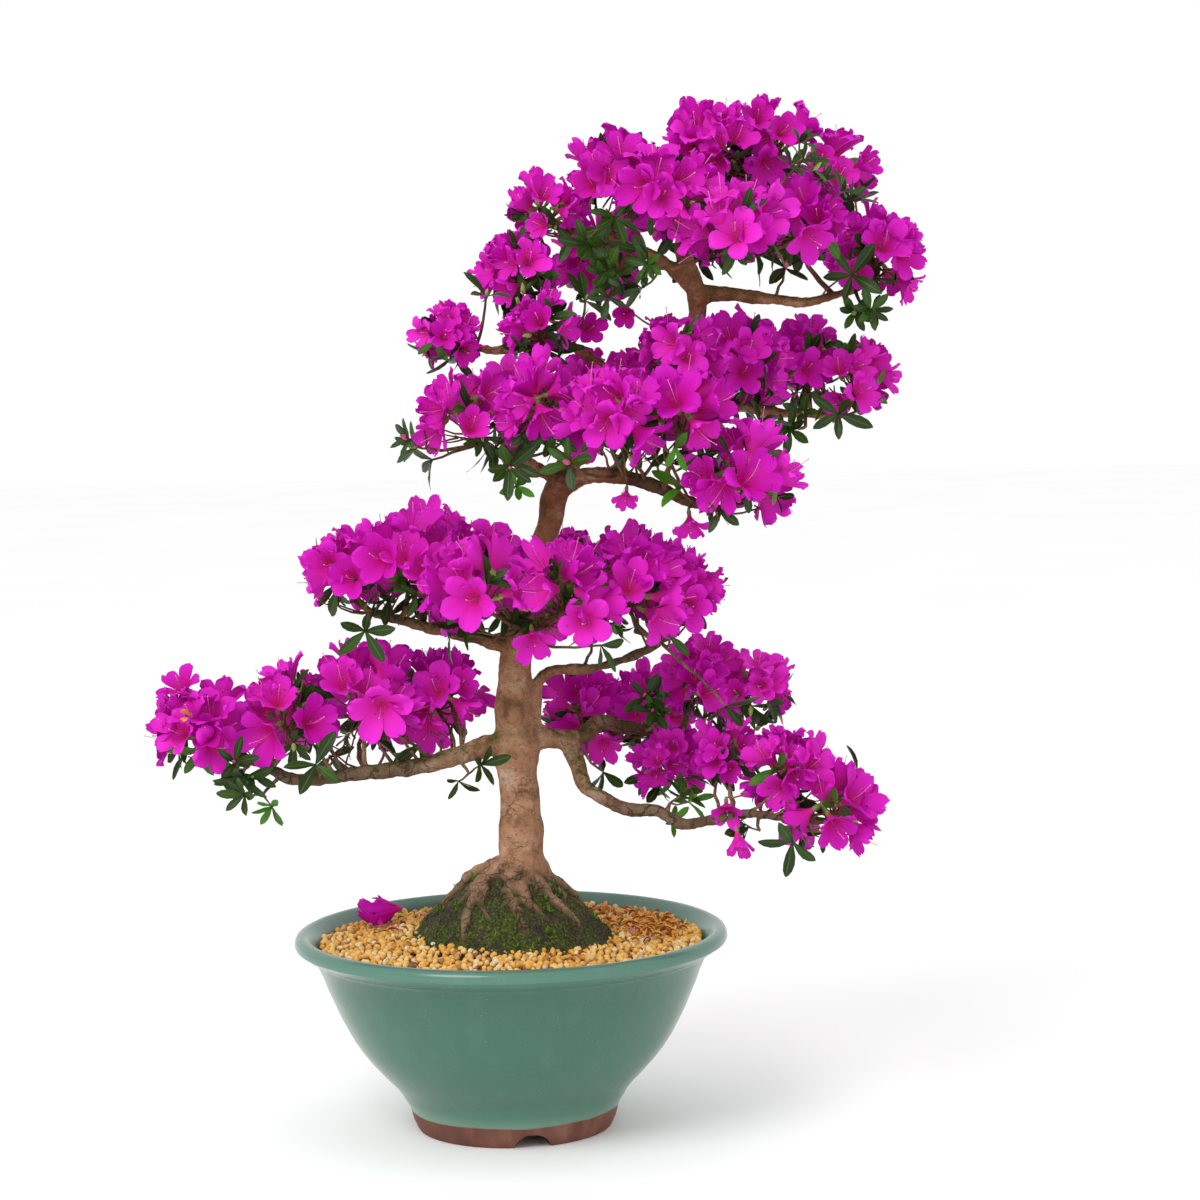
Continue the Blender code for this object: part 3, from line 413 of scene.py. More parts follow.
def tube(skin, route, radii, sides, slot=0, shades=0.5, capped=False):
    """A tube along a route, with one radius in millimetres for each point."""
    route = np.array([tuple(point) for point in route])
    ahead = np.gradient(route, axis=0)
    ahead /= np.linalg.norm(ahead, axis=1)[:, None] + 1e-12
    guide = np.array((0.31, 0.87, 0.38)) if abs(ahead[0][1]) < 0.8 else np.array((0.9, 0.1, 0.4))
    across = np.cross(ahead, guide)
    across /= np.linalg.norm(across, axis=1)[:, None] + 1e-12
    other = np.cross(ahead, across)
    angles = np.arange(sides) * math.tau / sides
    ring = (across[:, None, :] * np.cos(angles)[None, :, None]
            + other[:, None, :] * np.sin(angles)[None, :, None])
    points = route[:, None, :] + ring * (np.asarray(radii) * MM)[:, None, None]
    skin.add(points, grid_faces(len(route), sides, wrap=True), slot, shades)
    if capped:
        fan = np.array([(0, 1 + step, 1 + (step + 1) % sides) for step in range(sides)])
        skin.add(np.vstack([route[0], points[0]]), fan[:, [0, 2, 1]], slot, shades)
        skin.add(np.vstack([route[-1], points[-1]]), fan, slot, shades)


def turned_bit(skin, matrix, rings, size, sides, slot):
    """A small turned shape, such as a bud, from (radius, height) rings."""
    angles = np.arange(sides) * math.tau / sides
    points = [(radius * size * math.cos(angle), radius * size * math.sin(angle), height * size)
              for radius, height in rings for angle in angles]
    skin.add(placed(points, matrix), grid_faces(len(rings), sides, wrap=True), slot)


# Materials

class Look:
    """A new material, with methods that add nodes to its tree and return their sockets."""

    def __init__(self, name):
        self.material = bpy.data.materials.new(name)
        self.material.use_nodes = True
        self.tree = self.material.node_tree
        self.shader = self.tree.nodes["Principled BSDF"]

    def add(self, kind, **inputs):
        """A new node, with a socket or a plain value for each input that is named."""
        made = self.tree.nodes.new("ShaderNode" + kind)
        for name, value in inputs.items():
            self.feed(made.inputs[name], value)
        return made

    def feed(self, socket, value):
        """Link a socket to another one, or give it a plain number, vector or colour."""
        if isinstance(value, bpy.types.NodeSocket):
            self.tree.links.new(value, socket)
        elif socket.type == "RGBA":
            socket.default_value = (*value, 1.0)
        else:
            socket.default_value = value

    def spot(self):
        return self.add("TexCoord").outputs["Object"]

    def height(self, whole):
        """The height above the floor, as a share of a whole height in metres."""
        split = self.add("SeparateXYZ", Vector=self.spot())
        return self.math("DIVIDE", split.outputs["Z"], whole)

    def noise(self, scale, detail=3.0, roughness=0.5, stretch=None):
        """Noise in object space, with a scale in cells to the metre."""
        spot = self.spot()
        if stretch:
            spot = self.add("Mapping", Vector=spot, Scale=stretch).outputs["Vector"]
        made = self.add("TexNoise", Vector=spot, Scale=scale, Detail=detail, Roughness=roughness)
        return made.outputs["Fac"]

    def cells(self, scale, spot, feature="F1"):
        """The distance to the middle or the edge of cells, with a scale in cells to the metre."""
        made = self.add("TexVoronoi", Vector=spot, Scale=scale)
        made.feature = feature
        return made.outputs["Distance"]

    def ramp(self, factor, stops):
        """Colours at places from 0 to 1 along a factor."""
        made = self.add("ValToRGB", Fac=factor)
        elements = made.color_ramp.elements
        while len(elements) < len(stops):
            elements.new(1.0)
        for element, (place, colour) in zip(elements, sorted(stops)):
            element.position = place
            element.color = (*colour, 1.0)
        return made.outputs["Color"]

    def grey(self, factor, low, high, dark=0.0, light=1.0):
        return self.ramp(factor, ((low, (dark,) * 3), (high, (light,) * 3)))

    def mix(self, factor, first, second, blend="MIX"):
        """Two colours mixed by a factor, each a socket or a plain value."""
        made = self.add("Mix")
        made.data_type = "RGBA"
        made.blend_type = blend
        for name, value in (("Factor", factor), ("A", first), ("B", second)):
            self.feed(made.inputs[name], value)
        return made.outputs["Result"]

    def math(self, operation, *values, kind="Math"):
        """The result of a sum on numbers or, in a node of the kind VectorMath, on vectors."""
        made = self.add(kind)
        made.operation = operation
        for socket, value in zip(made.inputs, values):
            self.feed(socket, value)
        return made.outputs[0]

    def times(self, *values):
        return self.math("MULTIPLY", *values)

    def shades(self):
        """The red, green, blue and alpha of the shade that each point holds."""
        source = self.add("Attribute")
        source.attribute_name = "shade"
        red, green, blue = self.add("SeparateColor", Color=source.outputs["Color"]).outputs
        return red, green, blue, source.outputs["Alpha"]

    def bump(self, height, distance, strength):
        made = self.add("Bump", Strength=strength, Distance=distance, Height=height)
        self.feed(self.shader.inputs["Normal"], made.outputs["Normal"])

    def finish(self, colour, roughness, specular=0.5):
        """Give the shader its colour, roughness and specular level, and return the material."""
        self.feed(self.shader.inputs["Base Color"], colour)
        self.feed(self.shader.inputs["Roughness"], roughness)
        self.feed(self.shader.inputs["Specular IOR Level"], specular)
        return self.material


def petal_material():
    """Magenta, deeper in the throat and paler at the edge, with fine veins and throat dots, and a faint
    painted glow.
    """
    look = Look("magenta_petals")
    along, across, tone, upper = look.shades()
    base = look.ramp(along, (
        (0.0, (0.7, 0.12, 0.3)), (0.22, (0.7, 0.004, 0.22)), (0.5, (0.62, 0.001, 0.36)),
        (0.82, (0.62, 0.001, 0.46)), (1.0, (0.7, 0.008, 0.56))))
    deep = look.mix(1.0, base, (0.7, 0.5, 0.72), "MULTIPLY")
    light = look.mix(0.1, base, (0.95, 0.2, 0.85))
    toned = look.mix(tone, deep, light)
    waves = look.math("SINE", look.times(across, 62.0))
    wander = look.noise(160, 2.0)
    vein = look.times(look.math("POWER", look.math("ABSOLUTE", waves), 6.0), look.times(wander, 0.5))
    veined = look.mix(vein, toned, (0.4, 0.0, 0.26))
    dots = look.math("LESS_THAN", look.cells(620, look.spot()), 0.3)
    zone = look.times(look.grey(along, 0.3, 0.42), look.grey(along, 0.74, 0.6))
    blotch = look.times(look.times(zone, upper), dots)
    dotted = look.mix(look.times(blotch, 0.85), veined, (0.24, 0.0, 0.05))
    # A faint glow in the petals' own colour: painted light that stands in for light through the petals and
    # keeps the shaded ones bright.
    look.feed(look.shader.inputs["Emission Color"], dotted)
    look.feed(look.shader.inputs["Emission Strength"], 0.12)
    look.bump(look.math("ADD", look.times(waves, 0.25), wander), 0.0004, 0.5)
    return look.finish(dotted, 0.6, 0.12)


def plain_material(name, colour, other, roughness, scale):
    """A colour that varies towards another one, with a fine bump."""
    look = Look(name)
    spots = look.noise(scale)
    look.bump(spots, 0.0002, 0.4)
    return look.finish(look.ramp(spots, ((0.35, colour), (0.65, other))), roughness)


def leaf_material():
    """Dark glossy green with a pale midrib, side veins and some bright young leaves."""
    look = Look("azalea_leaves")
    along, across, tone, _ = look.shades()
    green = look.ramp(tone, (
        (0.0, (0.008, 0.022, 0.001)), (0.55, (0.02, 0.052, 0.002)), (0.8, (0.035, 0.13, 0.004)),
        (1.0, (0.07, 0.25, 0.01))))
    mottle = look.noise(220, 4.0)
    varied = look.mix(look.times(mottle, 0.2), green, (0.03, 0.065, 0.01))
    middle = look.math("ABSOLUTE", look.math("SUBTRACT", across, 0.5))
    rib = look.grey(middle, 0.07, 0.02)
    slant = look.math("ADD", look.times(along, 46.0), look.times(middle, -30.0))
    veins = look.math("POWER", look.math("ABSOLUTE", look.math("SINE", slant)), 10.0)
    lines = look.math("MAXIMUM", look.times(rib, 0.5), look.times(veins, 0.16))
    coloured = look.mix(look.times(lines, 0.6), varied, (0.14, 0.26, 0.06))
    look.bump(look.math("SUBTRACT", mottle, look.times(lines, 1.2)), 0.0004, 0.6)
    return look.finish(coloured, 0.32, 0.24)


def bark_material():
    """Tan bark with pale and dark flakes, rougher and browner above, with moss on top."""
    look = Look("azalea_bark")
    broad = look.noise(48, 5.0, 0.62)
    fine = look.noise(300, 6.0, 0.7, (1.0, 1.0, 1.5))
    smooth = look.ramp(broad, (
        (0.34, (0.26, 0.125, 0.065)), (0.44, (0.46, 0.24, 0.13)), (0.56, (0.57, 0.33, 0.195)),
        (0.66, (0.66, 0.46, 0.32))))
    rough = look.ramp(broad, (
        (0.34, (0.1, 0.045, 0.02)), (0.46, (0.28, 0.12, 0.05)), (0.58, (0.42, 0.2, 0.095)),
        (0.68, (0.55, 0.34, 0.2))))
    barky = look.mix(look.grey(look.height(0.7), 0.36, 0.5), smooth, rough)
    flakes = look.grey(fine, 0.35, 0.47, 1.0, 0.0)
    spotted = look.mix(look.times(flakes, 0.6), barky, (0.13, 0.062, 0.035))
    stain, _, mossy, _ = look.shades()
    cracks = bark_cracks(look, stain)
    flaked = look.mix(look.times(cracks, 0.55), spotted, (0.09, 0.045, 0.026))
    stained = look.mix(look.times(stain, 0.85), flaked, (0.06, 0.044, 0.028))
    tufts = look.grey(look.noise(150, 5.0, 0.7), 0.42, 0.54)
    green = look.ramp(fine, ((0.35, (0.02, 0.026, 0.004)), (0.6, (0.1, 0.13, 0.014))))
    mossed = look.mix(look.times(tufts, mossy), stained, green)
    height = look.math("ADD", fine, look.times(broad, 1.5))
    look.bump(look.math("SUBTRACT", height, look.times(cracks, 0.3)), 0.003, 1.0)
    return look.finish(mossed, 0.85, 0.25)


def bark_cracks(look, stain):
    """The outlines of loose flakes, in patches on the trunk and all over the stained roots."""
    spot = look.spot()
    bend = look.add("TexNoise", Vector=spot, Scale=70, Detail=5).outputs["Color"]
    moved = look.math("MULTIPLY_ADD", bend, (0.03, 0.03, 0.03), spot, kind="VectorMath")
    line = look.grey(look.cells(75, moved, "DISTANCE_TO_EDGE"), 0.045, 0.0)
    patch = look.grey(look.noise(34, 2.0), 0.5, 0.6)
    patch = look.math("MAXIMUM", patch, look.times(stain, 2.2))
    return look.times(line, patch)


def moss_material():
    look = Look("moss_and_soil")
    patches = look.noise(42, 4.0, 0.6)
    fine = look.noise(520, 5.0, 0.7)
    green = look.ramp(fine, (
        (0.34, (0.006, 0.008, 0.002)), (0.5, (0.045, 0.06, 0.005)), (0.66, (0.15, 0.2, 0.015))))
    earth = look.ramp(fine, (
        (0.34, (0.008, 0.006, 0.004)), (0.55, (0.05, 0.034, 0.02)), (0.7, (0.2, 0.15, 0.1))))
    look.bump(fine, 0.002, 1.0)
    return look.finish(look.mix(look.grey(patches, 0.44, 0.56), green, earth), 0.95)


def grain_material():
    """Pumice and other small stones, whose colour comes from each grain's own draw; the bed under them takes
    a dark tone as painted shadow.
    """
    look = Look("pumice_grains")
    kind, _, tone, _ = look.shades()
    # Dark grains draw from 0.7 up; the bed's tone, just under 0.84, gives it a dark orange-brown that is
    # painted shadow between the grains.
    stone = look.ramp(kind, (
        (0.0, (0.72, 0.33, 0.035)), (0.3, (0.82, 0.45, 0.08)), (0.6, (0.88, 0.61, 0.2)),
        (0.76, (0.85, 0.76, 0.56)), (0.84, (0.42, 0.13, 0.025)), (0.94, (0.2, 0.07, 0.025)),
        (1.0, (0.04, 0.028, 0.025))))
    pores = look.noise(1300, 3.0, 0.6)
    pitted = look.mix(look.grey(pores, 0.55, 0.35, 0.0, 0.45), stone, (0.3, 0.15, 0.04))
    toned = look.mix(look.times(tone, 0.25), pitted, (0.85, 0.6, 0.28))
    look.bump(pores, 0.0005, 0.7)
    return look.finish(toned, 0.8, 0.2)


def glaze_material():
    """Grey-green glaze that pools paler above a bare clay foot, with scuffs and specks, and a paler band
    along the lip that is a painted highlight.
    """
    look = Look("green_glaze")
    height = look.height(0.14)
    cloud = look.noise(16, 4.0, 0.55)
    specks = look.noise(900, 2.0, 0.5)
    wash = look.noise(60, 4.0, 0.6, (1.0, 1.0, 0.35))
    # Colour up the pot's height: the paler stops from 0.93 up lie on the lip and are a painted highlight.
    glaze = look.ramp(height, (
        (0.1, (0.17, 0.29, 0.22)), (0.16, (0.08, 0.2, 0.14)), (0.24, (0.047, 0.147, 0.096)),
        (0.6, (0.042, 0.139, 0.09)), (0.88, (0.037, 0.122, 0.08)), (0.93, (0.08, 0.2, 0.145)),
        (1.0, (0.07, 0.17, 0.125))))
    clouded = look.mix(look.times(cloud, 0.3), glaze, (0.045, 0.14, 0.1))
    milky = look.mix(look.grey(wash, 0.5, 0.8, 0.0, 0.06), clouded, (0.3, 0.45, 0.38))
    specked = look.mix(look.grey(specks, 0.68, 0.76, 0.0, 0.5), milky, (0.26, 0.36, 0.3))
    clay = look.ramp(wash, (
        (0.3, (0.1, 0.034, 0.022)), (0.5, (0.165, 0.056, 0.034)), (0.75, (0.25, 0.11, 0.075))))
    uneven = look.math("ADD", height, look.times(cloud, -0.035))
    bare = look.grey(uneven, 0.093, 0.087)
    shine = look.math("ADD", look.times(wash, 0.16), 0.12)
    look.bump(look.math("ADD", cloud, look.times(specks, 0.06)), 0.0012, 0.35)
    return look.finish(look.mix(bare, specked, clay), look.math("MAXIMUM", shine, look.times(bare, 0.8)))


def moss_leaf_material():
    look = Look("moss_leaves")
    _, _, tone, _ = look.shades()
    green = look.ramp(tone, (
        (0.0, (0.015, 0.022, 0.003)), (0.55, (0.08, 0.12, 0.008)), (1.0, (0.16, 0.42, 0.02))))
    mottle = look.noise(900, 2.0)
    look.bump(mottle, 0.0002, 0.3)
    return look.finish(look.mix(look.times(mottle, 0.4), green, (0.03, 0.05, 0.005)), 0.8)


def dried_material():
    look = Look("dried_petals")
    tone, _, _, _ = look.shades()
    brown = look.ramp(tone, (
        (0.0, (0.42, 0.12, 0.012)), (0.5, (0.68, 0.27, 0.03)), (0.92, (0.8, 0.44, 0.08)),
        (1.0, (0.5, 0.1, 0.3))))
    grain = look.noise(700, 3.0)
    look.bump(grain, 0.0004, 0.6)
    return look.finish(look.mix(look.times(grain, 0.25), brown, (0.16, 0.06, 0.02)), 0.7)


# The pot and what fills it

def turned_skin(profile, steps):
    """A closed skin turned about the pot's axis from (radius, height) points."""
    profile = np.array(profile, dtype=float)
    angles = np.arange(steps) * math.tau / steps
    points = np.empty((len(profile), steps, 3))
    points[:, :, 0] = profile[:, 0, None] * np.cos(angles)
    points[:, :, 1] = profile[:, 0, None] * np.sin(angles)
    points[:, :, 2] = profile[:, 1, None]
    last = (len(profile) - 1) * steps
    column = np.arange(steps)
    following = (column + 1) % steps
    seam = np.stack([last + column, last + following, following, column], -1)
    faces = np.vstack([grid_faces(len(profile), steps, wrap=True), seam])
    return in_frame(points.reshape(-1, 3)), faces


def notch_cutter(angle):
    """A cutter for one arched notch under the foot ring."""
    half = NOTCH_SPAN / 2
    outline = [(-half, -2.0), (half, -2.0), (half - 0.6, 2.5), (half - 3, 5.8), (half - 6.5, 8.2),
               (half - 10.5, NOTCH_HEIGHT), (-half + 9.5, NOTCH_HEIGHT), (-half + 5, 6.4), (-half + 2, 2.6)]
    outward = Vector((math.cos(angle), math.sin(angle), 0.0))
    sideways = Vector((-math.sin(angle), math.cos(angle), 0.0))
    bm = bmesh.new()
    near, far = [[bm.verts.new(POT_AXIS + (outward * away + sideways * across + Vector((0, 0, height))) * MM)
                  for across, height in outline] for away in NOTCH_REACH]
    bm.faces.new(near)
    bm.faces.new(far[::-1])
    for step in range(len(outline)):
        following = (step + 1) % len(outline)
        bm.faces.new((near[step], near[following], far[following], far[step]))
    bmesh.ops.recalc_face_normals(bm, faces=bm.faces)
    mesh = bpy.data.meshes.new("notch_cutter")
    bm.to_mesh(mesh)
    bm.free()
    return new_object("notch_cutter", mesh)


def keep_modifiers(thing):
    """Keep the shape that the modifiers give, and drop the modifiers."""
    graph = bpy.context.evaluated_depsgraph_get()
    graph.update()
    thing.data = bpy.data.meshes.new_from_object(thing.evaluated_get(graph))
    thing.modifiers.clear()


def make_pot():
    skin = Skin()
    skin.add(*turned_skin(POT_OUTSIDE + POT_UNDERSIDE + POT_INSIDE, POT_STEPS))
    pot = skin.build("pot_body", [glaze_material()])
    for angle in NOTCH_ANGLES:
        cutter = notch_cutter(math.radians(angle))
        carve = pot.modifiers.new("notch", "BOOLEAN")
        carve.operation = "DIFFERENCE"
        carve.solver = "EXACT"
        carve.object = cutter
        keep_modifiers(pot)
        bpy.data.objects.remove(cutter)
    pot.data.shade_smooth()
    pot.data.set_sharp_from_angle(angle=math.radians(POT_SHARP_ANGLE))
    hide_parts("pot")
    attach(pot, "root")


def mound_surface(x, y):
    """The height of the mossy mound over a spot, with its cushions and hollows."""
    radius = math.hypot(x, y)
    share = np.clip((radius - MOUND_TOP_RADIUS) / (MOUND_RADIUS - MOUND_TOP_RADIUS), 0, 1.2)
    smooth = MOUND_TOP - (MOUND_TOP - MOUND_EDGE) * share ** MOUND_BULGE
    spot = Vector((x, y, 0))
    cushions = 3.0 * noise.noise(spot / 17) + 1.6 * noise.noise(spot / 6) + 0.8 * noise.noise(spot / 2.2)
    fade = min(1.0, max(0.0, (MOUND_RADIUS + 3 - radius) / 10))
    return float(smooth) + cushions * fade


def make_mound():
    """The mossy mound, with moss leaves over it and brighter tufts."""
    points = []
    for ring in range(MOUND_RINGS):
        radius = MOUND_HOLE + (MOUND_RADIUS + MOUND_SKIRT - MOUND_HOLE) * ring / (MOUND_RINGS - 1)
        for step in range(MOUND_STEPS):
            angle = math.tau * step / MOUND_STEPS
            x, y = polar(radius * (1 + MOUND_WAVE * math.sin(3 * angle + 1) * ring / MOUND_RINGS), angle)
            points.append((x, y, mound_surface(x, y)))
    points += [(x, y, FILL_LOW) for x, y, _ in points[-MOUND_STEPS:]]
    skin = Skin()
    skin.add(in_frame(points), grid_faces(MOUND_RINGS + 1, MOUND_STEPS, wrap=True))
    add_moss(skin)
    mound = skin.build("mossy_mound", [moss_material(), moss_leaf_material()])
    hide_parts("moss_mound")
    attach(mound, "root")


def moss_blade(skin, spot, lean, spin, length, width, tone):
    """One folded moss leaf of two triangles."""
    side = np.array((-math.sin(spin), math.cos(spin), 0)) * width / 2
    out = np.array((math.cos(spin), math.sin(spin), 0)) * math.sin(lean)
    tip = spot + (out + np.array((0, 0, math.cos(lean)))) * length
    middle = spot + (out * 0.4 + np.array((0, 0, math.cos(lean) * 0.55))) * length
    points = in_frame([spot, middle - side, tip, middle + side])
    skin.add(points, [(0, 1, 2), (0, 2, 3)], 1, (0.5, 0.5, tone, 1))


def add_moss(skin):
    """Short moss leaves in patches, and tufts of longer and brighter ones."""
    draw = random.Random(SEED + 7)
    for _ in range(MOSS_TRIES):
        angle = any_angle(draw)
        x, y = polar(14 + (MOUND_RADIUS - 15) * math.sqrt(draw.random()), angle)
        patch = noise.noise(Vector((x, y, 9)) / 15)
        if patch < draw.uniform(-0.5, 0.15):
            continue
        spot = np.array((x, y, mound_surface(x, y) - 0.3))
        moss_blade(skin, spot, draw.uniform(0.1, 1.1), any_angle(draw), draw.uniform(1.2, 2.6),
                   draw.uniform(0.5, 0.9), draw.uniform(0.1, 0.6) + 0.35 * patch)
    for _ in range(MOSS_TUFTS):
        angle = any_angle(draw)
        x, y = polar(draw.uniform(24, MOUND_RADIUS + 2), angle)
        spot = np.array((x, y, mound_surface(x, y)))
        for _ in range(draw.randint(10, 22)):
            moss_blade(skin, spot, draw.uniform(0.1, 1.35), any_angle(draw),
                       draw.uniform(3.0, 6.5), 1.0, draw.uniform(0.75, 1.0))


def grain_shape():
    """The points and faces of a ball, which each grain stretches and dents."""
    bm = bmesh.new()
    bmesh.ops.create_icosphere(bm, subdivisions=2, radius=1.0)
    points = np.array([tuple(vert.co) for vert in bm.verts])
    faces = np.array([[vert.index for vert in face.verts] for face in bm.faces])
    bm.free()
    return points, faces


def random_turn(draw):
    turn = Matrix.Rotation(any_angle(draw), 3, "X") @ Matrix.Rotation(any_angle(draw), 3, "Y")
    return np.array(turn @ Matrix.Rotation(any_angle(draw), 3, "Z"))


def grain_spots(draw):
    """Spots over the ring of gravel that keep a grain's width from each other."""
    taken = {}
    spots = []
    for _ in range(GRAIN_TRIES):
        angle = any_angle(draw)
        x, y = polar(math.sqrt(draw.uniform(GRAVEL_INNER ** 2, GRAVEL_OUTER ** 2)), angle)
        column = int(x // GRAIN_SPACING)
        row = int(y // GRAIN_SPACING)
        near = [taken.get((column + dx, row + dy)) for dx in (-1, 0, 1) for dy in (-1, 0, 1)]
        if not any(spot and math.hypot(spot[0] - x, spot[1] - y) < GRAIN_SPACING for spot in near):
            taken[(column, row)] = (x, y)
            spots.append((x, y))
    return spots


def gravel_height(x, y):
    """The top of the bed over a spot: uneven, banked at the rim and heaped at the mound."""
    radius = math.hypot(x, y)
    swell = 1.2 * noise.noise(Vector((x, y, 3)) / 22)
    bank = 1.6 * max(0.0, (radius - 118) / 12)
    heap = (4.6 - 2.2 * x / radius) * min(1.0, max(0.0, (106 - radius) / 40))
    return GRAVEL_LEVEL + swell + bank + heap


def make_gravel():
    """A bed in a dark tone, painted shadow for the gaps, with a close layer of separate grains on it."""
    draw = random.Random(SEED + 3)
    skin = Skin()
    skin.add(*turned_skin(BED_PROFILE, BED_STEPS), 0, (BED_PAINTED_SHADOW_TONE, 0.5, 0.0, 1))
    ball, sides = grain_shape()
    for x, y in grain_spots(draw):
        size = draw.uniform(*GRAIN_SIZES)
        stretch = size * np.array((draw.uniform(0.8, 1.3), draw.uniform(0.75, 1.1),
                                   draw.uniform(0.65, 0.95)))
        folds = ball @ np.array([draw.uniform(-3, 3) for _ in range(3)]) + draw.uniform(0, 6)
        lumps = 1 + 0.16 * np.sin(folds)
        shape = (ball * lumps[:, None]) * stretch @ random_turn(draw).T
        lift = draw.uniform(-1.2, 1.6)
        if math.hypot(x - FALLEN_SPOT[0], y - FALLEN_SPOT[1]) < FALLEN_CLEARING:
            lift = -0.9
        place = np.array((x, y, gravel_height(x, y) + lift))
        pick = draw.random()
        kind = draw.uniform(0.0, 0.74) if pick < 0.87 else draw.uniform(0.7, 1.0)
        skin.add(in_frame(shape + place), sides, 0, (kind, 0.5, draw.random(), 1))
    gravel = skin.build("gravel_grains", [grain_material()])
    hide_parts("gravel")
    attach(gravel, "root")


def dried_petal(skin, draw, x, y):
    """One curled petal of three points across and five along, that lies on the gravel."""
    length = draw.uniform(4, 9)
    width = length * draw.uniform(0.35, 0.55)
    rows = []
    for t in (0, 0.25, 0.5, 0.75, 1):
        half = width * math.sin(math.pi * (0.12 + 0.8 * t))
        for across in (-1, 0, 1):
            curl = 0.5 * abs(across) * half + 1.4 * math.sin(math.pi * t)
            rows.append((length * (t - 0.5), across * half / 2, curl))
    turn = Matrix.Rotation(any_angle(draw), 3, "Z") @ Matrix.Rotation(draw.uniform(-0.5, 0.5), 3, "Y")
    points = np.array(rows) @ np.array(turn).T + np.array((x, y, gravel_height(x, y) + 4.0))
    skin.add(in_frame(points), grid_faces(5, 3), 0, (draw.random(),) * 4)


def make_dried_petals():
    """Dried petals on the gravel, most of them at the right, and three withered lobes on the tree."""
    draw = random.Random(SEED + 5)
    skin = Skin()
    for _ in range(DRIED_TRIES):
        if draw.random() < 0.75:
            x = draw.gauss(98, 20)
            y = draw.gauss(30, 34)
        else:
            angle = any_angle(draw)
            x = draw.uniform(72, 120) * math.cos(angle)
            y = draw.uniform(72, 120) * math.sin(angle)
        if 70 < math.hypot(x, y) < 127:
            dried_petal(skin, draw, x, y)
    for number in range(3):
        matrix = Matrix.Translation(at(*WITHERED_SPOT)) @ facing(Vector((-0.3, -1, 0.2)), 2.1 * number)
        points = lobe(draw, 0.0, 0.4, 0.6, 2.0)
        points[:, :, 2] += 1.6 * np.sin(points[:, :, 0] * 1.7 + number)
        skin.add(placed(points, matrix), LOBE_FACES, 0, (0.45 + 0.2 * number,) * 4)
    dried = skin.build("dried_petals", [dried_material()])
    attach(dried, "root")


def finish_hidden_nodes():
    """The soil and the drain mesh keep their solids and get their own materials."""
    soil = plain_material("potting_soil", (0.05, 0.03, 0.018), (0.12, 0.075, 0.045), 0.95, 600)
    plastic = plain_material("black_plastic", (0.012, 0.012, 0.013), (0.02, 0.02, 0.021), 0.45, 900)
    for name, material in (("soil", soil), ("drain_mesh", plastic)):
        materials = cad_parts[name].data.materials
        materials.clear()
        materials.append(material)


# The tree

def limb_routes():
    """Every limb as (name, route, radii), with its collar and a natural wander."""
    noise.seed_set(SEED)
    limbs = []
    for number, (name, first, last, points) in enumerate(LIMBS):
        route = smooth_route([at(*point) for point in points], LIMB_SPACING * MM)
        wander = 0.0 if name == "trunk" else LIMB_WANDER
        radii = []
        for step, point in enumerate(route):
            share = step / (len(route) - 1)
            radius = first + (last - first) * share
            if name == "trunk":
                radius = float(np.interp(point.z / MM, *zip(*TRUNK_GIRTH)))
                radius += FLARE * max(0.0, ROOT_TOP - point.z / MM)
            elif name != "leader":
                radius *= 1 + 0.45 * math.exp(-share * 14)
            radius *= 1 + 0.1 * noise.noise(Vector((number * 7.3, 0, step * 0.42)))
            radii.append(radius)
            sway = noise.noise_vector(Vector((number * 3.1, step * 0.24, 5.0))) * wander * MM
            point += sway * min(1.0, 4 * share, 6 * (1 - share))
        limbs.append((name, route, radii))
    return limbs


def root_run(angle, start, reach, bend, rise, sink):
    """A root's route over the mound, from a rise above it to a depth in it, in metres."""
    route = []
    for step in range(ROOT_STEPS + 1):
        share = step / ROOT_STEPS
        turn = angle + bend * math.sin(2.6 * share + angle)
        x, y = polar(start + reach * share, turn)
        x = TRUNK_FOOT * (1 - share) + x
        height = mound_surface(x, y) + rise - (rise + sink) * share ** 0.8
        height -= ROOT_DIVE * max(0.0, share - 0.7) / 0.3
        route.append(at(x, y, height))
    return smooth_route(route, ROOT_SPACING * MM)


def tapered(route, first):
    """A root's route with radii that narrow to its tip."""
    return route, list(np.linspace(first, first * ROOT_TAPER, len(route)))


def root_routes():
    """The main surface roots with their forks, and thinner ones that wander over the mound."""
    roots = []
    draw = random.Random(SEED + 11)
    for angle, reach, thick in ROOTS:
        turn = math.radians(angle)
        route = root_run(turn, 12, reach - 8, ROOT_SWAY, -2.6, 0.4)
        knots = [1 + 0.25 * noise.noise(Vector((angle, step * 0.5, 4.0))) for step in range(len(route))]
        along = np.linspace(0, 1, len(route))
        thickness = np.interp(along, (0, 0.35, 1), (thick * 0.95, thick * 0.6, thick * 0.4))
        roots.append((route, list(thickness * knots)))
        for side in (-1, 1):
            fork = root_run(turn + side * draw.uniform(0.2, 0.42), draw.uniform(20, 34),
                            draw.uniform(18, 34), draw.uniform(-0.3, 0.3), 0.2, 1.0)
            roots.append(tapered(fork, thick * draw.uniform(0.35, 0.55)))
    for _ in range(THIN_ROOTS):
        fork = root_run(any_angle(draw), draw.uniform(20, 36), draw.uniform(12, 26),
                        draw.uniform(-0.6, 0.6), 0.7, 0.8)
        roots.append(tapered(fork, draw.uniform(1.2, 2.4)))
    return roots


def fluting(spot):
    """Long muscles down the foot of the trunk, in millimetres."""
    foot = min(1.0, max(0.0, (230 - spot.z) / 60))
    around = math.atan2(spot.y, spot.x - POT_AXIS.x / MM - TRUNK_FOOT)
    ring = Vector((math.cos(around) * 1.9, math.sin(around) * 1.9, spot.z / 90))
    return (0.6 + 2.6 * foot) * noise.noise(ring)


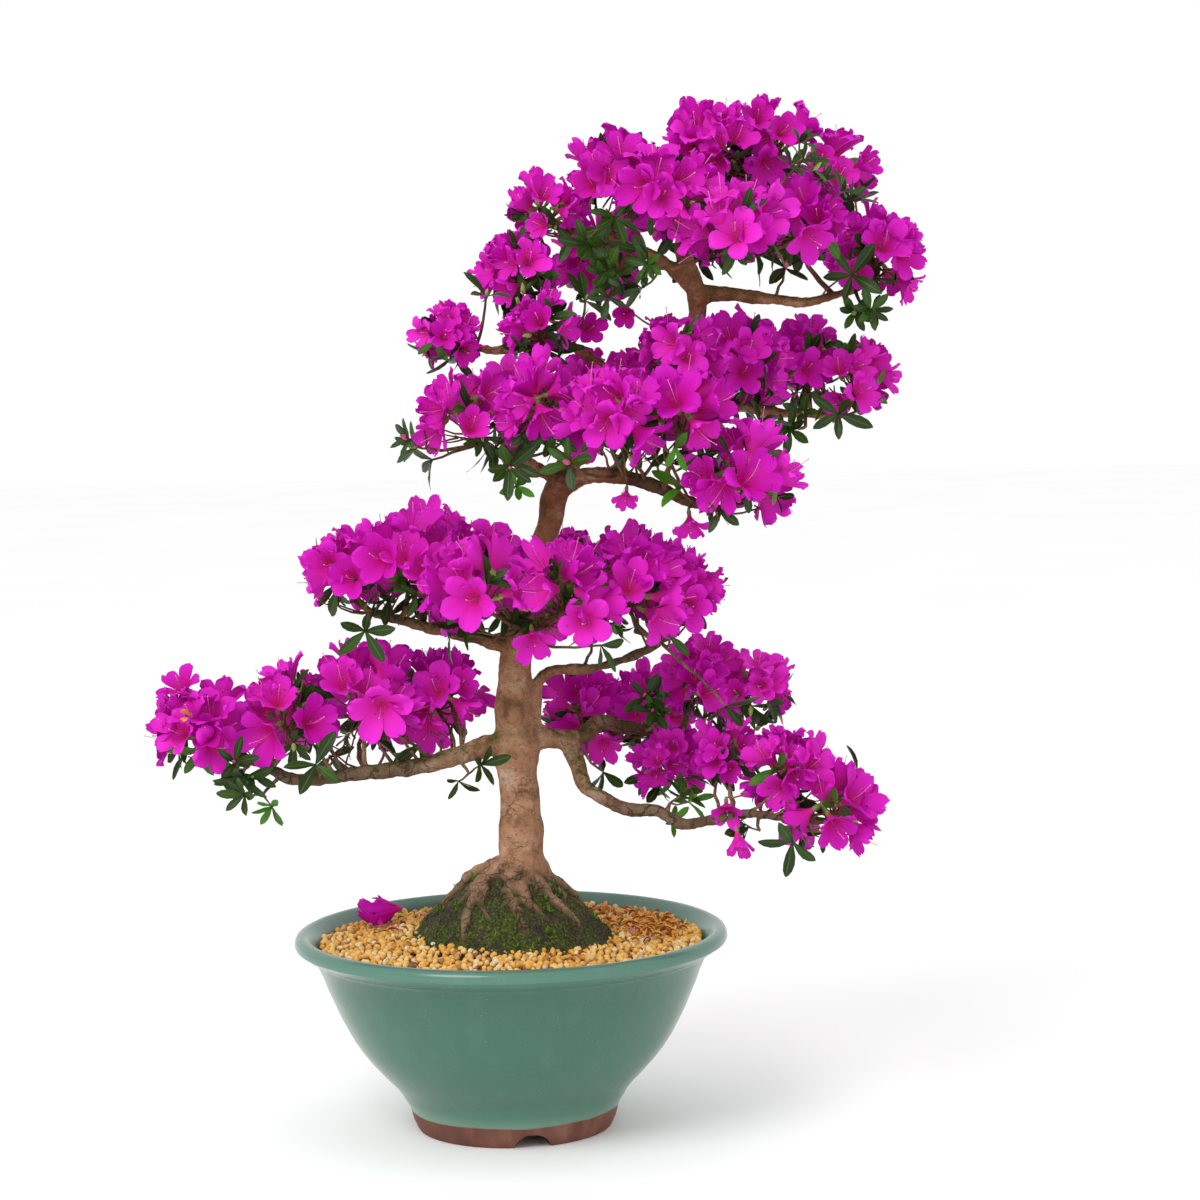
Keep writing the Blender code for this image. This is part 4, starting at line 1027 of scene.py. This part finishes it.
def relief(points, normals):
    """Push the bark in and out: broad muscles, flakes and small pits, in metres."""
    moved = points.copy()
    for index, (point, normal) in enumerate(zip(points, normals)):
        spot = Vector(point) / MM
        long = Vector((spot.x, spot.y, spot.z * 0.35))
        rough = 0.65 if spot.z > 330 or abs(spot.x - 8) > 20 else 0.3
        if spot.z < 190:
            rough = 1.1
        push = (1.3 * noise.noise(spot / 13) + rough * noise.noise(long / 4.5)
                + 0.35 * noise.noise(spot / 2.0))
        if spot.z < 430 and abs(spot.x - POT_AXIS.x / MM - TRUNK_FOOT) < 30:
            push += fluting(spot)
        moved[index] += normal * push * MM
    return moved


def height_on_mound(points):
    """How far each point of the bark stands above the mossy mound, in millimetres."""
    above = np.full(len(points), 99.0)
    for index in np.flatnonzero(points[:, 2] < 195 * MM):
        x, y, z = points[index] / MM
        above[index] = z - mound_surface(x - POT_AXIS.x / MM, y)
    return above


def moss_share(points, normals, above):
    """How mossy each point of the bark is: on the limbs' upper sides and low on the roots."""
    height = (points[:, 2] - POT_AXIS.z) / MM
    upward = np.clip(normals[:, 2] * 1.4 + 0.1, 0, 1)
    limb = np.where(height > 235, 0.75 * upward, 0.0)
    away = np.hypot(points[:, 0] - POT_AXIS.x, points[:, 1]) / MM
    patchy = np.array([0.55 + 0.9 * noise.noise(Vector(point) / 0.009) for point in points])
    root = np.clip((ROOT_TOP - height) / 12, 0, 1) * np.clip((away - 14) / 8, 0, 1) * patchy
    return np.clip(limb + root * np.clip(1.3 - above / 3.6, 0.1, 1.3), 0, 1)


def stain_share(points, above):
    """How stained each point of the bark is: on the roots, and on the limbs away from the trunk."""
    height = points[:, 2] / MM
    flank = np.clip(1.2 - above / 4.5, 0, 1)
    root = np.clip(np.clip((ROOT_TOP - height) / 34, 0, 0.4) + 0.6 * flank, 0, 1)
    stem = np.array(LIMBS[0][3])
    sideways = points[:, 0] / MM - POT_AXIS.x / MM - np.interp(height, stem[:, 2], stem[:, 0])
    away = np.hypot(sideways, points[:, 1] / MM)
    limb = (height > STAIN_LOW) & (height < STAIN_HIGH)
    return root + np.where(limb, LIMB_STAIN * np.clip((away - 26) / 60, 0, 1), 0)


def fuse(tree):
    """Make one even skin of all the tubes in an object."""
    remesh = tree.modifiers.new("fuse", "REMESH")
    remesh.mode = "VOXEL"
    remesh.voxel_size = BARK_VOXEL * MM
    smooth = tree.modifiers.new("even", "SMOOTH")
    smooth.factor = 0.5
    smooth.iterations = 5
    keep_modifiers(tree)


def read_vectors(source, name):
    """The vectors that a mesh's collection holds, as the rows of an array."""
    values = np.empty(len(source) * 3)
    source.foreach_get(name, values)
    return values.reshape(-1, 3)


def make_tree(limbs):
    """Trunk, limbs and roots, fused into one skin and roughened as bark."""
    skin = Skin()
    for name, route, radii in limbs:
        tube(skin, route, radii, TRUNK_SIDES if name == "trunk" else LIMB_SIDES, capped=True)
    for route, radii in root_routes():
        tube(skin, route, radii, ROOT_SIDES, capped=True)
    tree = skin.build("bark_skin", [])
    fuse(tree)
    mesh = tree.data
    points = read_vectors(mesh.vertices, "co")
    normals = read_vectors(mesh.vertex_normals, "vector")
    mesh.vertices.foreach_set("co", relief(points, normals).ravel())
    mesh.update()
    above = height_on_mound(points)
    shades = np.full((len(points), 4), 0.5)
    shades[:, 0] = stain_share(points, above)
    shades[:, 2] = moss_share(points, normals, above)
    paint(mesh, shades)
    mesh.materials.clear()
    mesh.materials.append(bark_material())
    mesh.shade_smooth()
    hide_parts("tree")
    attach(tree, "root")


def nearest_spot(target, limbs, lowest_share=0.0, below=0.4):
    """The point of the limbs that lies nearest to a target, by choice one below it."""
    best = None
    for _, route, _ in limbs:
        for point in route[int(len(route) * lowest_share):]:
            distance = (point - target).length + below * max(0.0, point.z - target.z)
            if best is None or distance < best[0]:
                best = (distance, point)
    return best[1]


class Group:
    """The skins of the blooms, leaves and twigs of one group of heads, and its random draws."""

    def __init__(self, name, number):
        self.flowers = Skin()
        self.foliage = Skin()
        self.twigs = Skin()
        self.draw = random.Random(SEED * 5000 + len(name) * 17 + number)


def twig(group, start, end, first, last, sides=5):
    """A thin twig that bends between two points, with a small kink or two."""
    length = (end - start).length
    lift = loose(group.draw, -1.2, 0.2) * length * 0.13
    route = []
    steps = max(3, min(9, round(length / (TWIG_SPACING * MM))))
    for step in range(steps + 1):
        t = step / steps
        kink = loose(group.draw) * min(0.9 * MM, length * 0.04)
        route.append(start.lerp(end, t) + lift * math.sin(math.pi * t) + kink * math.sin(math.pi * t))
    radii = [first + (last - first) * step / steps for step in range(steps + 1)]
    tube(group.twigs, route, radii, sides, 0, (TWIG_STAIN, 0.5, group.draw.uniform(0.0, 0.6), 1))


# Blooms

LOBE_ROWS = np.array((0.0, 0.25, 0.45, 0.6, 0.73, 0.85, 0.94, 1.0))
LOBE_RADIUS = np.array((0.3, 3.0, 6.3, 10.0, 13.6, 17.2, 19.6, 20.8))
LOBE_HEIGHT = np.array((-19.0, -12.6, -7.8, -4.4, -1.8, 0.2, 0.7, 0.6))
LOBE_ANGLE = np.radians((38.0, 38.0, 39.0, 38.0, 34.5, 28.5, 21.0, 9.5))
LOBE_ROUNDING = np.array((0.0, 0.0, 0.0, 0.02, 0.045, 0.075, 0.075, 0.03))
LOBE_COLUMNS = np.linspace(-1, 1, 7)
LOBE_FACES = grid_faces(len(LOBE_ROWS), len(LOBE_COLUMNS))


def lobe(draw, middle, size, spread, recurve):
    """One lobe of a bloom as a grid of points in millimetres, waved at its edge."""
    t = LOBE_ROWS[:, None]
    u = LOBE_COLUMNS[None, :]
    wide = draw.uniform(0.92, 1.06)
    angle = middle + u * LOBE_ANGLE[:, None] * wide
    radius = LOBE_RADIUS[:, None] * (1 + (spread - 1) * t ** 1.5) * (1 - LOBE_ROUNDING[:, None] * u ** 2)
    height = LOBE_HEIGHT[:, None] + (1 - spread) * 9.0 * t ** 3
    phase = any_angle(draw)
    wave = (2.3 * np.sin(3.4 * u + phase) * np.abs(u) + 1.1 * np.sin(6.5 * u + 2 * phase)) * t ** 3
    groove = -0.9 * np.exp(-(u / 0.2) ** 2) * np.sin(math.pi * np.clip(t, 0, 1)) * t
    overlap = 0.55 * u * t
    edge = draw.uniform(-0.2, 1.6) * u ** 2 * t ** 2
    curl = -recurve * t ** 5 + draw.uniform(-2.6, 3.6) * t ** 3
    height = height + wave + groove + overlap + edge + curl
    radius = radius - 0.35 * np.maximum(recurve, 0) * t ** 6
    radius = radius * (1 + draw.uniform(-0.07, 0.09) * t ** 2)
    points = np.stack([radius * np.cos(angle), radius * np.sin(angle), height + 0 * angle], -1)
    return points * size


def corolla(skin, draw, matrix, size, first_angle, upper_angle, tone):
    """Five overlapping lobes on a funnel that opens along the matrix's +Z."""
    spread = draw.uniform(0.62, 1.0)
    recurve = draw.uniform(-0.5, 4.5)
    for number in range(LOBES):
        middle = first_angle + math.tau * number / LOBES
        points = lobe(draw, middle, size, spread, recurve + draw.uniform(-1.0, 1.4))
        away = abs((middle - upper_angle + math.pi) % math.tau - math.pi)
        shades = shade_grid(LOBE_ROWS, LOBE_COLUMNS, tone, max(0.0, 1 - away / 1.3))
        skin.add(placed(points, matrix), LOBE_FACES, 0, shades)


def filament(skin, matrix, angle, away, length, rise, up, radius, slot, end_slot, end_size):
    """A stamen or the style: a thin curved tube with an anther or a knob at its end."""
    route = []
    for step in range(FILAMENT_STEPS + 1):
        t = step / FILAMENT_STEPS
        route.append(Vector((*polar(away * t, angle), -16 + length * t)) + up * rise * t * t)
    points = [matrix @ (point * MM) for point in route]
    tube(skin, points, [radius] * (FILAMENT_STEPS + 1), 3, slot)
    tip = route[-1]
    along = (route[-1] - route[-2]).normalized()
    across = along.cross(Vector((0.3, 0.5, 0.81))).normalized()
    other = along.cross(across)
    long, wide = end_size
    corners = [tip - across * long, tip + across * long, tip - other * wide, tip + other * wide,
               tip + along * wide, tip - along * wide]
    faces = [(0, 2, 4), (2, 1, 4), (1, 3, 4), (3, 0, 4), (2, 0, 5), (1, 2, 5), (3, 1, 5), (0, 3, 5)]
    skin.add([matrix @ (corner * MM) for corner in corners], faces, end_slot)


def stamens(skin, draw, matrix, size, upper):
    """Stamens with dark anthers and a longer pale style, all curving towards the upper lobe."""
    up = Vector((*polar(1, upper), 0)) * size
    for number in range(STAMENS):
        angle = upper + math.pi + (number - 2) * 0.62 + draw.uniform(-0.15, 0.15)
        filament(skin, matrix, angle, draw.uniform(3.4, 5.4) * size, draw.uniform(14, 20) * size,
                 draw.uniform(2.5, 5.5), up, 0.22, THREAD, ANTHER, (0.8, 0.45))
    filament(skin, matrix, upper + math.pi, 4.6 * size, draw.uniform(21, 27) * size,
             draw.uniform(5, 8), up, 0.28, STYLE, STYLE, (0.6, 0.6))


def bloom(group, place, out, size, first_angle):
    """A whole bloom with its rim at a place, open along a direction; returns its stalk's end."""
    skin = group.flowers
    draw = group.draw
    matrix = Matrix.Translation(place) @ facing(out)
    world_up = matrix.inverted().to_3x3() @ Vector((0, 0, 1))
    target = math.atan2(world_up.y, world_up.x)
    step = math.tau / LOBES
    upper = first_angle + round((target - first_angle) / step) * step
    tone = draw.uniform(0.1, 1.0)
    CUPS.add(place, out, size)
    corolla(skin, draw, matrix, size, first_angle, upper, tone)
    stamens(skin, draw, matrix, size, upper)
    turned_bit(skin, matrix, CALYX_RINGS, size, 6, CALYX)
    return matrix @ Vector((0, 0, -BASE_DEPTH * size * MM))


def twelve_sides(number):
    """A head's twelve directions, each with its first lobe's angle, and those between them."""
    draw = random.Random(SEED * 1000 + number)
    turn = Matrix.Rotation(any_angle(draw), 4, "X")
    turn = Matrix.Rotation(any_angle(draw), 4, "Z") @ turn
    bm = bmesh.new()
    bmesh.ops.create_icosphere(bm, subdivisions=1, radius=1.0, matrix=turn)
    sides = []
    for vert in bm.verts:
        out = vert.co.normalized()
        across = facing(out).inverted()
        ring = [across @ face.calc_center_median() for face in vert.link_faces]
        sides.append((out.copy(), min(math.atan2(local.y, local.x) for local in ring)))
    between = [face.calc_center_median().normalized().copy() for face in bm.faces]
    bm.free()
    return sides, between


def in_other_head(point, own, share):
    for heads in HEADS.values():
        for head in heads:
            if head is not own and (point - at(*head[:3])).length < share * head[3] * MM:
                return True
    return False


# Leaves

LEAF_ROWS = np.array((0.0, 0.15, 0.38, 0.62, 0.82, 0.95, 1.0))
LEAF_OUTLINE = np.array((0.1, 0.4, 0.84, 1.0, 0.8, 0.36, 0.03))
LEAF_COLUMNS = np.linspace(-1, 1, 5)
LEAF_FACES = grid_faces(len(LEAF_ROWS), len(LEAF_COLUMNS))


def leaf(skin, draw, matrix, length, width, tone):
    """A leaf along +X, folded at its midrib and bent down towards its tip."""
    t = LEAF_ROWS[:, None]
    u = LEAF_COLUMNS[None, :]
    half = LEAF_OUTLINE[:, None] * width / 2
    fold = draw.uniform(0.1, 0.4)
    droop = draw.uniform(-0.05, 0.3)
    twist = draw.uniform(-0.3, 0.3) * t
    x = length * t * (1 - 0.12 * droop * t) + 0 * u
    y = half * u * np.cos(fold)
    z = half * np.abs(u) * np.sin(fold) - length * droop * t ** 2 + 0.25 * np.sin(9 * t + 4 * u)
    points = np.stack([x, y * np.cos(twist) - z * np.sin(twist) * 0.3, z + y * np.sin(twist)], -1)
    skin.add(placed(points, matrix), LEAF_FACES, 0, shade_grid(LEAF_ROWS, LEAF_COLUMNS, tone, 1))


class Cups:
    """The open cups of all the blooms, which no leaf may stand in."""

    def __init__(self):
        self.places = []
        self.directions = []
        self.sizes = []

    def add(self, place, out, size):
        self.places.append(tuple(place))
        self.directions.append(tuple(out))
        self.sizes.append(size)

    def hold(self, points):
        """Whether any of the points stands in a cup or close in front of one."""
        away = np.array([tuple(point) for point in points])[:, None, :] - np.array(self.places)[None]
        outward = np.array(self.directions)[None]
        height = (away * outward).sum(-1)
        radius = np.linalg.norm(away - height[:, :, None] * outward, axis=-1) / MM
        height = height / MM
        size = np.array(self.sizes)[None]
        cone = np.clip(4 * size + 0.95 * (height + 12 * size), 0, 14 * size)
        return bool(((radius < cone) & (height > -12 * size) & (height < 10)).any())


CUPS = Cups()


def whorl(group, spot, out, count, scale, rise=LOW_RISE):
    """Leaves round the end of a twig, some with a bud in the middle."""
    draw = group.draw
    middle = Matrix.Translation(spot) @ facing(out, any_angle(draw))
    young = draw.random() < 0.12
    for number in range(count):
        around = Matrix.Rotation(math.tau * number / count + draw.uniform(-0.25, 0.25), 4, "Z")
        lift = Matrix.Rotation(-math.radians(draw.uniform(*rise)), 4, "Y")
        size = scale * draw.uniform(0.78, 1.18)
        tone = draw.uniform(0.72, 1.0) if young else draw.uniform(0.0, 0.66)
        matrix = middle @ around @ lift
        midrib = [matrix @ Vector((LEAF_LENGTH * size * share * MM, 0, 0)) for share in (0.3, 0.65, 1.0)]
        if not CUPS.hold(midrib):
            leaf(group.foliage, draw, matrix, LEAF_LENGTH * size, LEAF_WIDTH * size, tone)
    if draw.random() < 0.3:
        size = draw.uniform(0.5, 1.0)
        turned_bit(group.foliage, middle, BUD_RINGS, size, 7, GREEN_BUD if draw.random() < 0.6 else PINK_BUD)


def nearest_group(spot):
    best = None
    for group, heads in HEADS.items():
        for head in heads:
            distance = (spot - at(*head[:3])).length - head[3] * MM
            if best is None or distance < best[0]:
                best = (distance, group)
    return best[1]


def part_whorls(limbs):
    """The part's own whorls: their number, group, spot, start of twig and direction."""
    whorls = []
    for number, spot in enumerate(WHORLS):
        end = at(*spot)
        start = nearest_spot(end, limbs[1:], 0.3, 0.0)
        out = (end - start).normalized()
        out.z = max(out.z, -0.5)
        whorls.append((number, nearest_group(end), end, start, out.normalized()))
    return whorls


def petal_materials():
    """The petals' material, and those of the slots THREAD, ANTHER, STYLE and CALYX."""
    return [petal_material(),
            plain_material("stamen_threads", (0.66, 0.02, 0.36), (0.75, 0.07, 0.42), 0.5, 300),
            plain_material("dark_anthers", (0.03, 0.008, 0.03), (0.09, 0.03, 0.07), 0.7, 900),
            plain_material("pale_styles", (0.8, 0.16, 0.4), (0.85, 0.3, 0.5), 0.45, 300),
            plain_material("calyx_green", (0.12, 0.22, 0.03), (0.3, 0.3, 0.08), 0.6, 500)]


def leaf_materials():
    """The leaves' material, and those of the slots GREEN_BUD and PINK_BUD."""
    return [leaf_material(),
            plain_material("green_buds", (0.2, 0.32, 0.05), (0.42, 0.45, 0.14), 0.5, 500),
            plain_material("pink_buds", (0.5, 0.05, 0.16), (0.7, 0.16, 0.3), 0.5, 500)]


def make_foliage(limbs):
    """Blooms, leaves and twigs: one skin of each for every group of heads."""
    petals = petal_materials()
    leaves = leaf_materials()
    bark = bark_material()
    groups = {name: Group(name, number) for number, name in enumerate(HEADS)}
    leafy = []
    for name, heads in HEADS.items():
        for head in heads:
            heart = head_branches(groups[name], head, limbs)
            bare = head_blooms(groups[name], head, len(leafy) + 1, heart)
            leafy.append((groups[name], head, heart, bare))
        add_single_blooms(name, groups[name])
    for group, head, heart, bare in leafy:
        head_leaves(group, head, heart, bare)
    for name, x, y, z, count in LEAFY_PATCHES:
        leafy_patch(groups[name], at(x, y, z), count, limbs)
    replaced = {name: [] for name in HEADS}
    for index, name, end, start, out in part_whorls(limbs):
        whorl(groups[name], end, out, LEAVES_PER_WHORL, 0.88)
        twig(groups[name], start, end, 1.3, 0.8)
        replaced[name].append("leaf_whorl_" + str(index + 1))
    for name, skins in groups.items():
        finish_group(name, skins, petals, leaves, bark, replaced[name])


def finish_group(group, skins, petals, leaves, bark, replaced):
    blooms = skins.flowers.build("petals_" + group, petals)
    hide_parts("blooms_" + group)
    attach(blooms, "root")
    green = skins.foliage.build("leaves_" + group, leaves)
    if replaced:
        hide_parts(*replaced)
    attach(green, "root")
    wood = skins.twigs.build("twigs_" + group, [bark])
    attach(wood, "root")


def add_single_blooms(name, group):
    """The single blooms of a group, each on a twig from the head nearest to it."""
    centres = [at(*head[:3]) for heads in HEADS.values() for head in heads]
    for owner, spot, out, radius in SINGLE_BLOOMS:
        if owner == name:
            place = at(*spot)
            base = bloom(group, place, Vector(out).normalized(), radius / BLOOM_RADIUS, first_angle=0.3)
            nearest = min(centres, key=lambda centre: (centre - place).length)
            twig(group, nearest, base, 1.0, 0.6)


def head_branches(group, head, limbs):
    """The branches that carry one head, and its brushwood; returns the head's heart."""
    centre = at(*head[:3])
    reach = head[3]
    start = nearest_spot(centre, limbs[1:], 0.25)
    heart = centre - Vector((0, 0, 0.25 * reach * MM))
    twig(group, start, heart, 2.3, 1.3, 6)
    for _ in range(SIDE_BRANCHES):
        side = loose(group.draw, -0.9, 0.2) * 0.5 * reach * MM
        origin = nearest_spot(centre + side * 2.6 - Vector((0, 0, 0.02)), limbs[1:], 0.2)
        if (origin - centre).length < 2.0 * reach * MM:
            twig(group, origin, centre + side, 1.5, 0.9)
    brushwood(group, head, limbs)
    return heart


def brushwood(group, head, limbs):
    """Fine bare twigs that fill the underside of a head."""
    draw = group.draw
    for _ in range(BRUSH_TWIGS):
        side = loose(draw, -0.75, -0.35) * head[3] * MM
        end = at(*head[:3]) + side * 0.75
        aslant = Vector((draw.uniform(-1, 1), draw.uniform(-1, 1), 0)) * BRUSH_SLANT * MM
        origin = nearest_spot(end + aslant, limbs[1:], 0.2)
        if (end - origin).length < 1.6 * head[3] * MM:
            twig(group, origin, end, draw.uniform(0.8, 1.3), 0.5, 4)
            tip = end + jittered(side.normalized(), draw, 1.0) * 9 * MM
            twig(group, origin.lerp(end, 0.6), tip, 0.8, 0.5, 4)


def head_blooms(group, head, number, heart):
    """The blooms of one head, on stalks from its heart; returns the directions left bare."""
    draw = group.draw
    centre = at(*head[:3])
    reach = head[3]
    sides, between = twelve_sides(number)
    size_draw = random.Random(SEED * 3000 + number)
    full_size = min(BLOOM_SHARE * reach, 1.1 * BLOOM_RADIUS) / BLOOM_RADIUS
    for out, first_angle in sides:
        size = full_size * size_draw.uniform(0.94, 1.0)
        if out.z < BLOOM_LOWEST or in_other_head(centre + out * reach * MM, head, INSIDE_SHARE):
            continue
        out = jittered(out, draw, 0.14)
        place = centre + out * reach * draw.uniform(0.93, 1.04) * MM
        base = bloom(group, place, jittered(out, draw, 0.42), size * draw.uniform(0.98, 1.15), first_angle)
        twig(group, heart, base, 0.9, 0.6, 4)
    bare = []
    for direction in between:
        place = centre + direction * reach * draw.uniform(0.82, 1.0) * MM
        if direction.z < UNDERSIDE or draw.random() > 0.55:
            bare.append(direction)
        elif not in_other_head(place, head, 0.95):
            size = full_size * draw.uniform(0.85, 1.08)
            out = jittered(direction, draw, 0.5)
            base = bloom(group, place, out, size, any_angle(draw))
            twig(group, heart, base, 0.9, 0.6, 4)
    return bare


def head_leaves(group, head, heart, bare):
    """Whorls of leaves between the blooms of a head, and more of them under it."""
    draw = group.draw
    for direction in bare:
        low = direction.z < UNDERSIDE
        share = draw.uniform(0.55, 0.78) if low else draw.uniform(0.42, 0.62)
        spot = at(*head[:3]) + direction * head[3] * share * MM
        if draw.random() > (0.72 if low else 0.42) or direction.z < -0.93 or in_other_head(spot, head, 0.85):
            continue
        count = draw.randint(4, 6)
        whorl(group, spot, jittered(direction, draw, 0.25), count, draw.uniform(0.58, 0.85),
              LOW_RISE if low else HIGH_RISE)
        twig(group, heart, spot, 0.9, 0.6, 4)


def leafy_patch(group, spot, count, limbs):
    """A few whorls together, on twigs of their own, where leaves show between the blooms."""
    draw = group.draw
    start = nearest_spot(spot, limbs[1:], 0.2)
    twig(group, start, spot, 1.6, 1.0)
    for _ in range(count):
        side = Vector((draw.uniform(-1, 1), draw.uniform(-1, 0.4), draw.uniform(-1, 1))) * 13 * MM
        end = spot + side
        out = (end - start).normalized() + Vector((0, -0.5, 0.3))
        whorl(group, end, out.normalized(), draw.randint(4, 6), draw.uniform(0.52, 0.78), PATCH_RISE)
        twig(group, spot, end, 0.9, 0.6, 4)


def make_fallen_bloom():
    """A wilted bloom with crumpled lobes, lying on its side on the gravel."""
    draw = random.Random(SEED + 13)
    skin = Skin()
    shades = shade_grid(LOBE_ROWS, LOBE_COLUMNS, WILTED_TONE, 0)
    for turn, tilt, offset in ((0.5, -62, (0, 0, 0)), (1.3, -100, (7, -2, 2))):
        place = Vector((*FALLEN_SPOT, FALLEN_HEIGHT)) + Vector(offset)
        matrix = Matrix.Translation(at(*place))
        matrix = matrix @ Matrix.Rotation(turn, 4, "Z") @ Matrix.Rotation(math.radians(tilt), 4, "X")
        for number in range(LOBES):
            points = lobe(draw, math.tau * number / LOBES, 0.82, 0.62, -2.5)
            points[:, :, 2] += np.sin(points[:, :, 0] * 0.9 + number) * LOBE_ROWS[:, None] * 2.4
            points[:, :, 0] += np.sin(points[:, :, 1] * 0.8 + 2 * number) * LOBE_ROWS[:, None] * 1.6
            skin.add(placed(points, matrix), LOBE_FACES, 0, shades)
    wilted = skin.build("wilted_bloom", [bpy.data.materials["magenta_petals"]])
    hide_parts("fallen_bloom")
    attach(wilted, "root")


# The studio

def make_floor():
    bpy.ops.mesh.primitive_plane_add(size=14, location=(0, 3, 0))
    floor = bpy.context.object
    floor.name = "floor"
    look = Look("pale_floor")
    soft = look.noise(3, 2.0)
    colour = look.grey(soft, 0.3, 0.7, 0.97, 0.99)
    floor.data.materials.append(look.finish(colour, 0.9))


def area_light(name, spot, target, size, power):
    data = bpy.data.lights.new(name, "AREA")
    data.shape = "DISK"
    data.size = size
    data.energy = power
    light = new_object(name, data)
    light.location = spot
    light.rotation_euler = (Vector(target) - Vector(spot)).to_track_quat("-Z", "Y").to_euler()


def make_light():
    world = bpy.data.worlds.new("studio")
    world.use_nodes = True
    background = world.node_tree.nodes["Background"]
    background.inputs["Color"].default_value = (1.0, 1.0, 1.0, 1.0)
    background.inputs["Strength"].default_value = 1.0
    bpy.context.scene.world = world
    bpy.context.scene.view_settings.view_transform = "Standard"
    area_light("key", (-1.1, -1.7, 2.0), (0, 0, 0.35), 1.4, 34)


def make_camera():
    data = bpy.data.cameras.new("camera")
    data.sensor_width = SENSOR_WIDTH
    data.lens = CAMERA_LENS
    camera = new_object("camera", data)
    turn = (Matrix.Rotation(math.radians(90 - CAMERA_PITCH), 4, "X")
            @ Matrix.Rotation(math.radians(CAMERA_ROLL), 4, "Z"))
    camera.matrix_world = Matrix.Translation(POT_AXIS + Vector(CAMERA_SPOT)) @ turn
    bpy.context.scene.camera = camera


make_floor()
make_light()
make_camera()
make_pot()
make_mound()
make_gravel()
make_dried_petals()
finish_hidden_nodes()
LIMB_ROUTES = limb_routes()
make_tree(LIMB_ROUTES)
make_foliage(LIMB_ROUTES)
make_fallen_bloom()
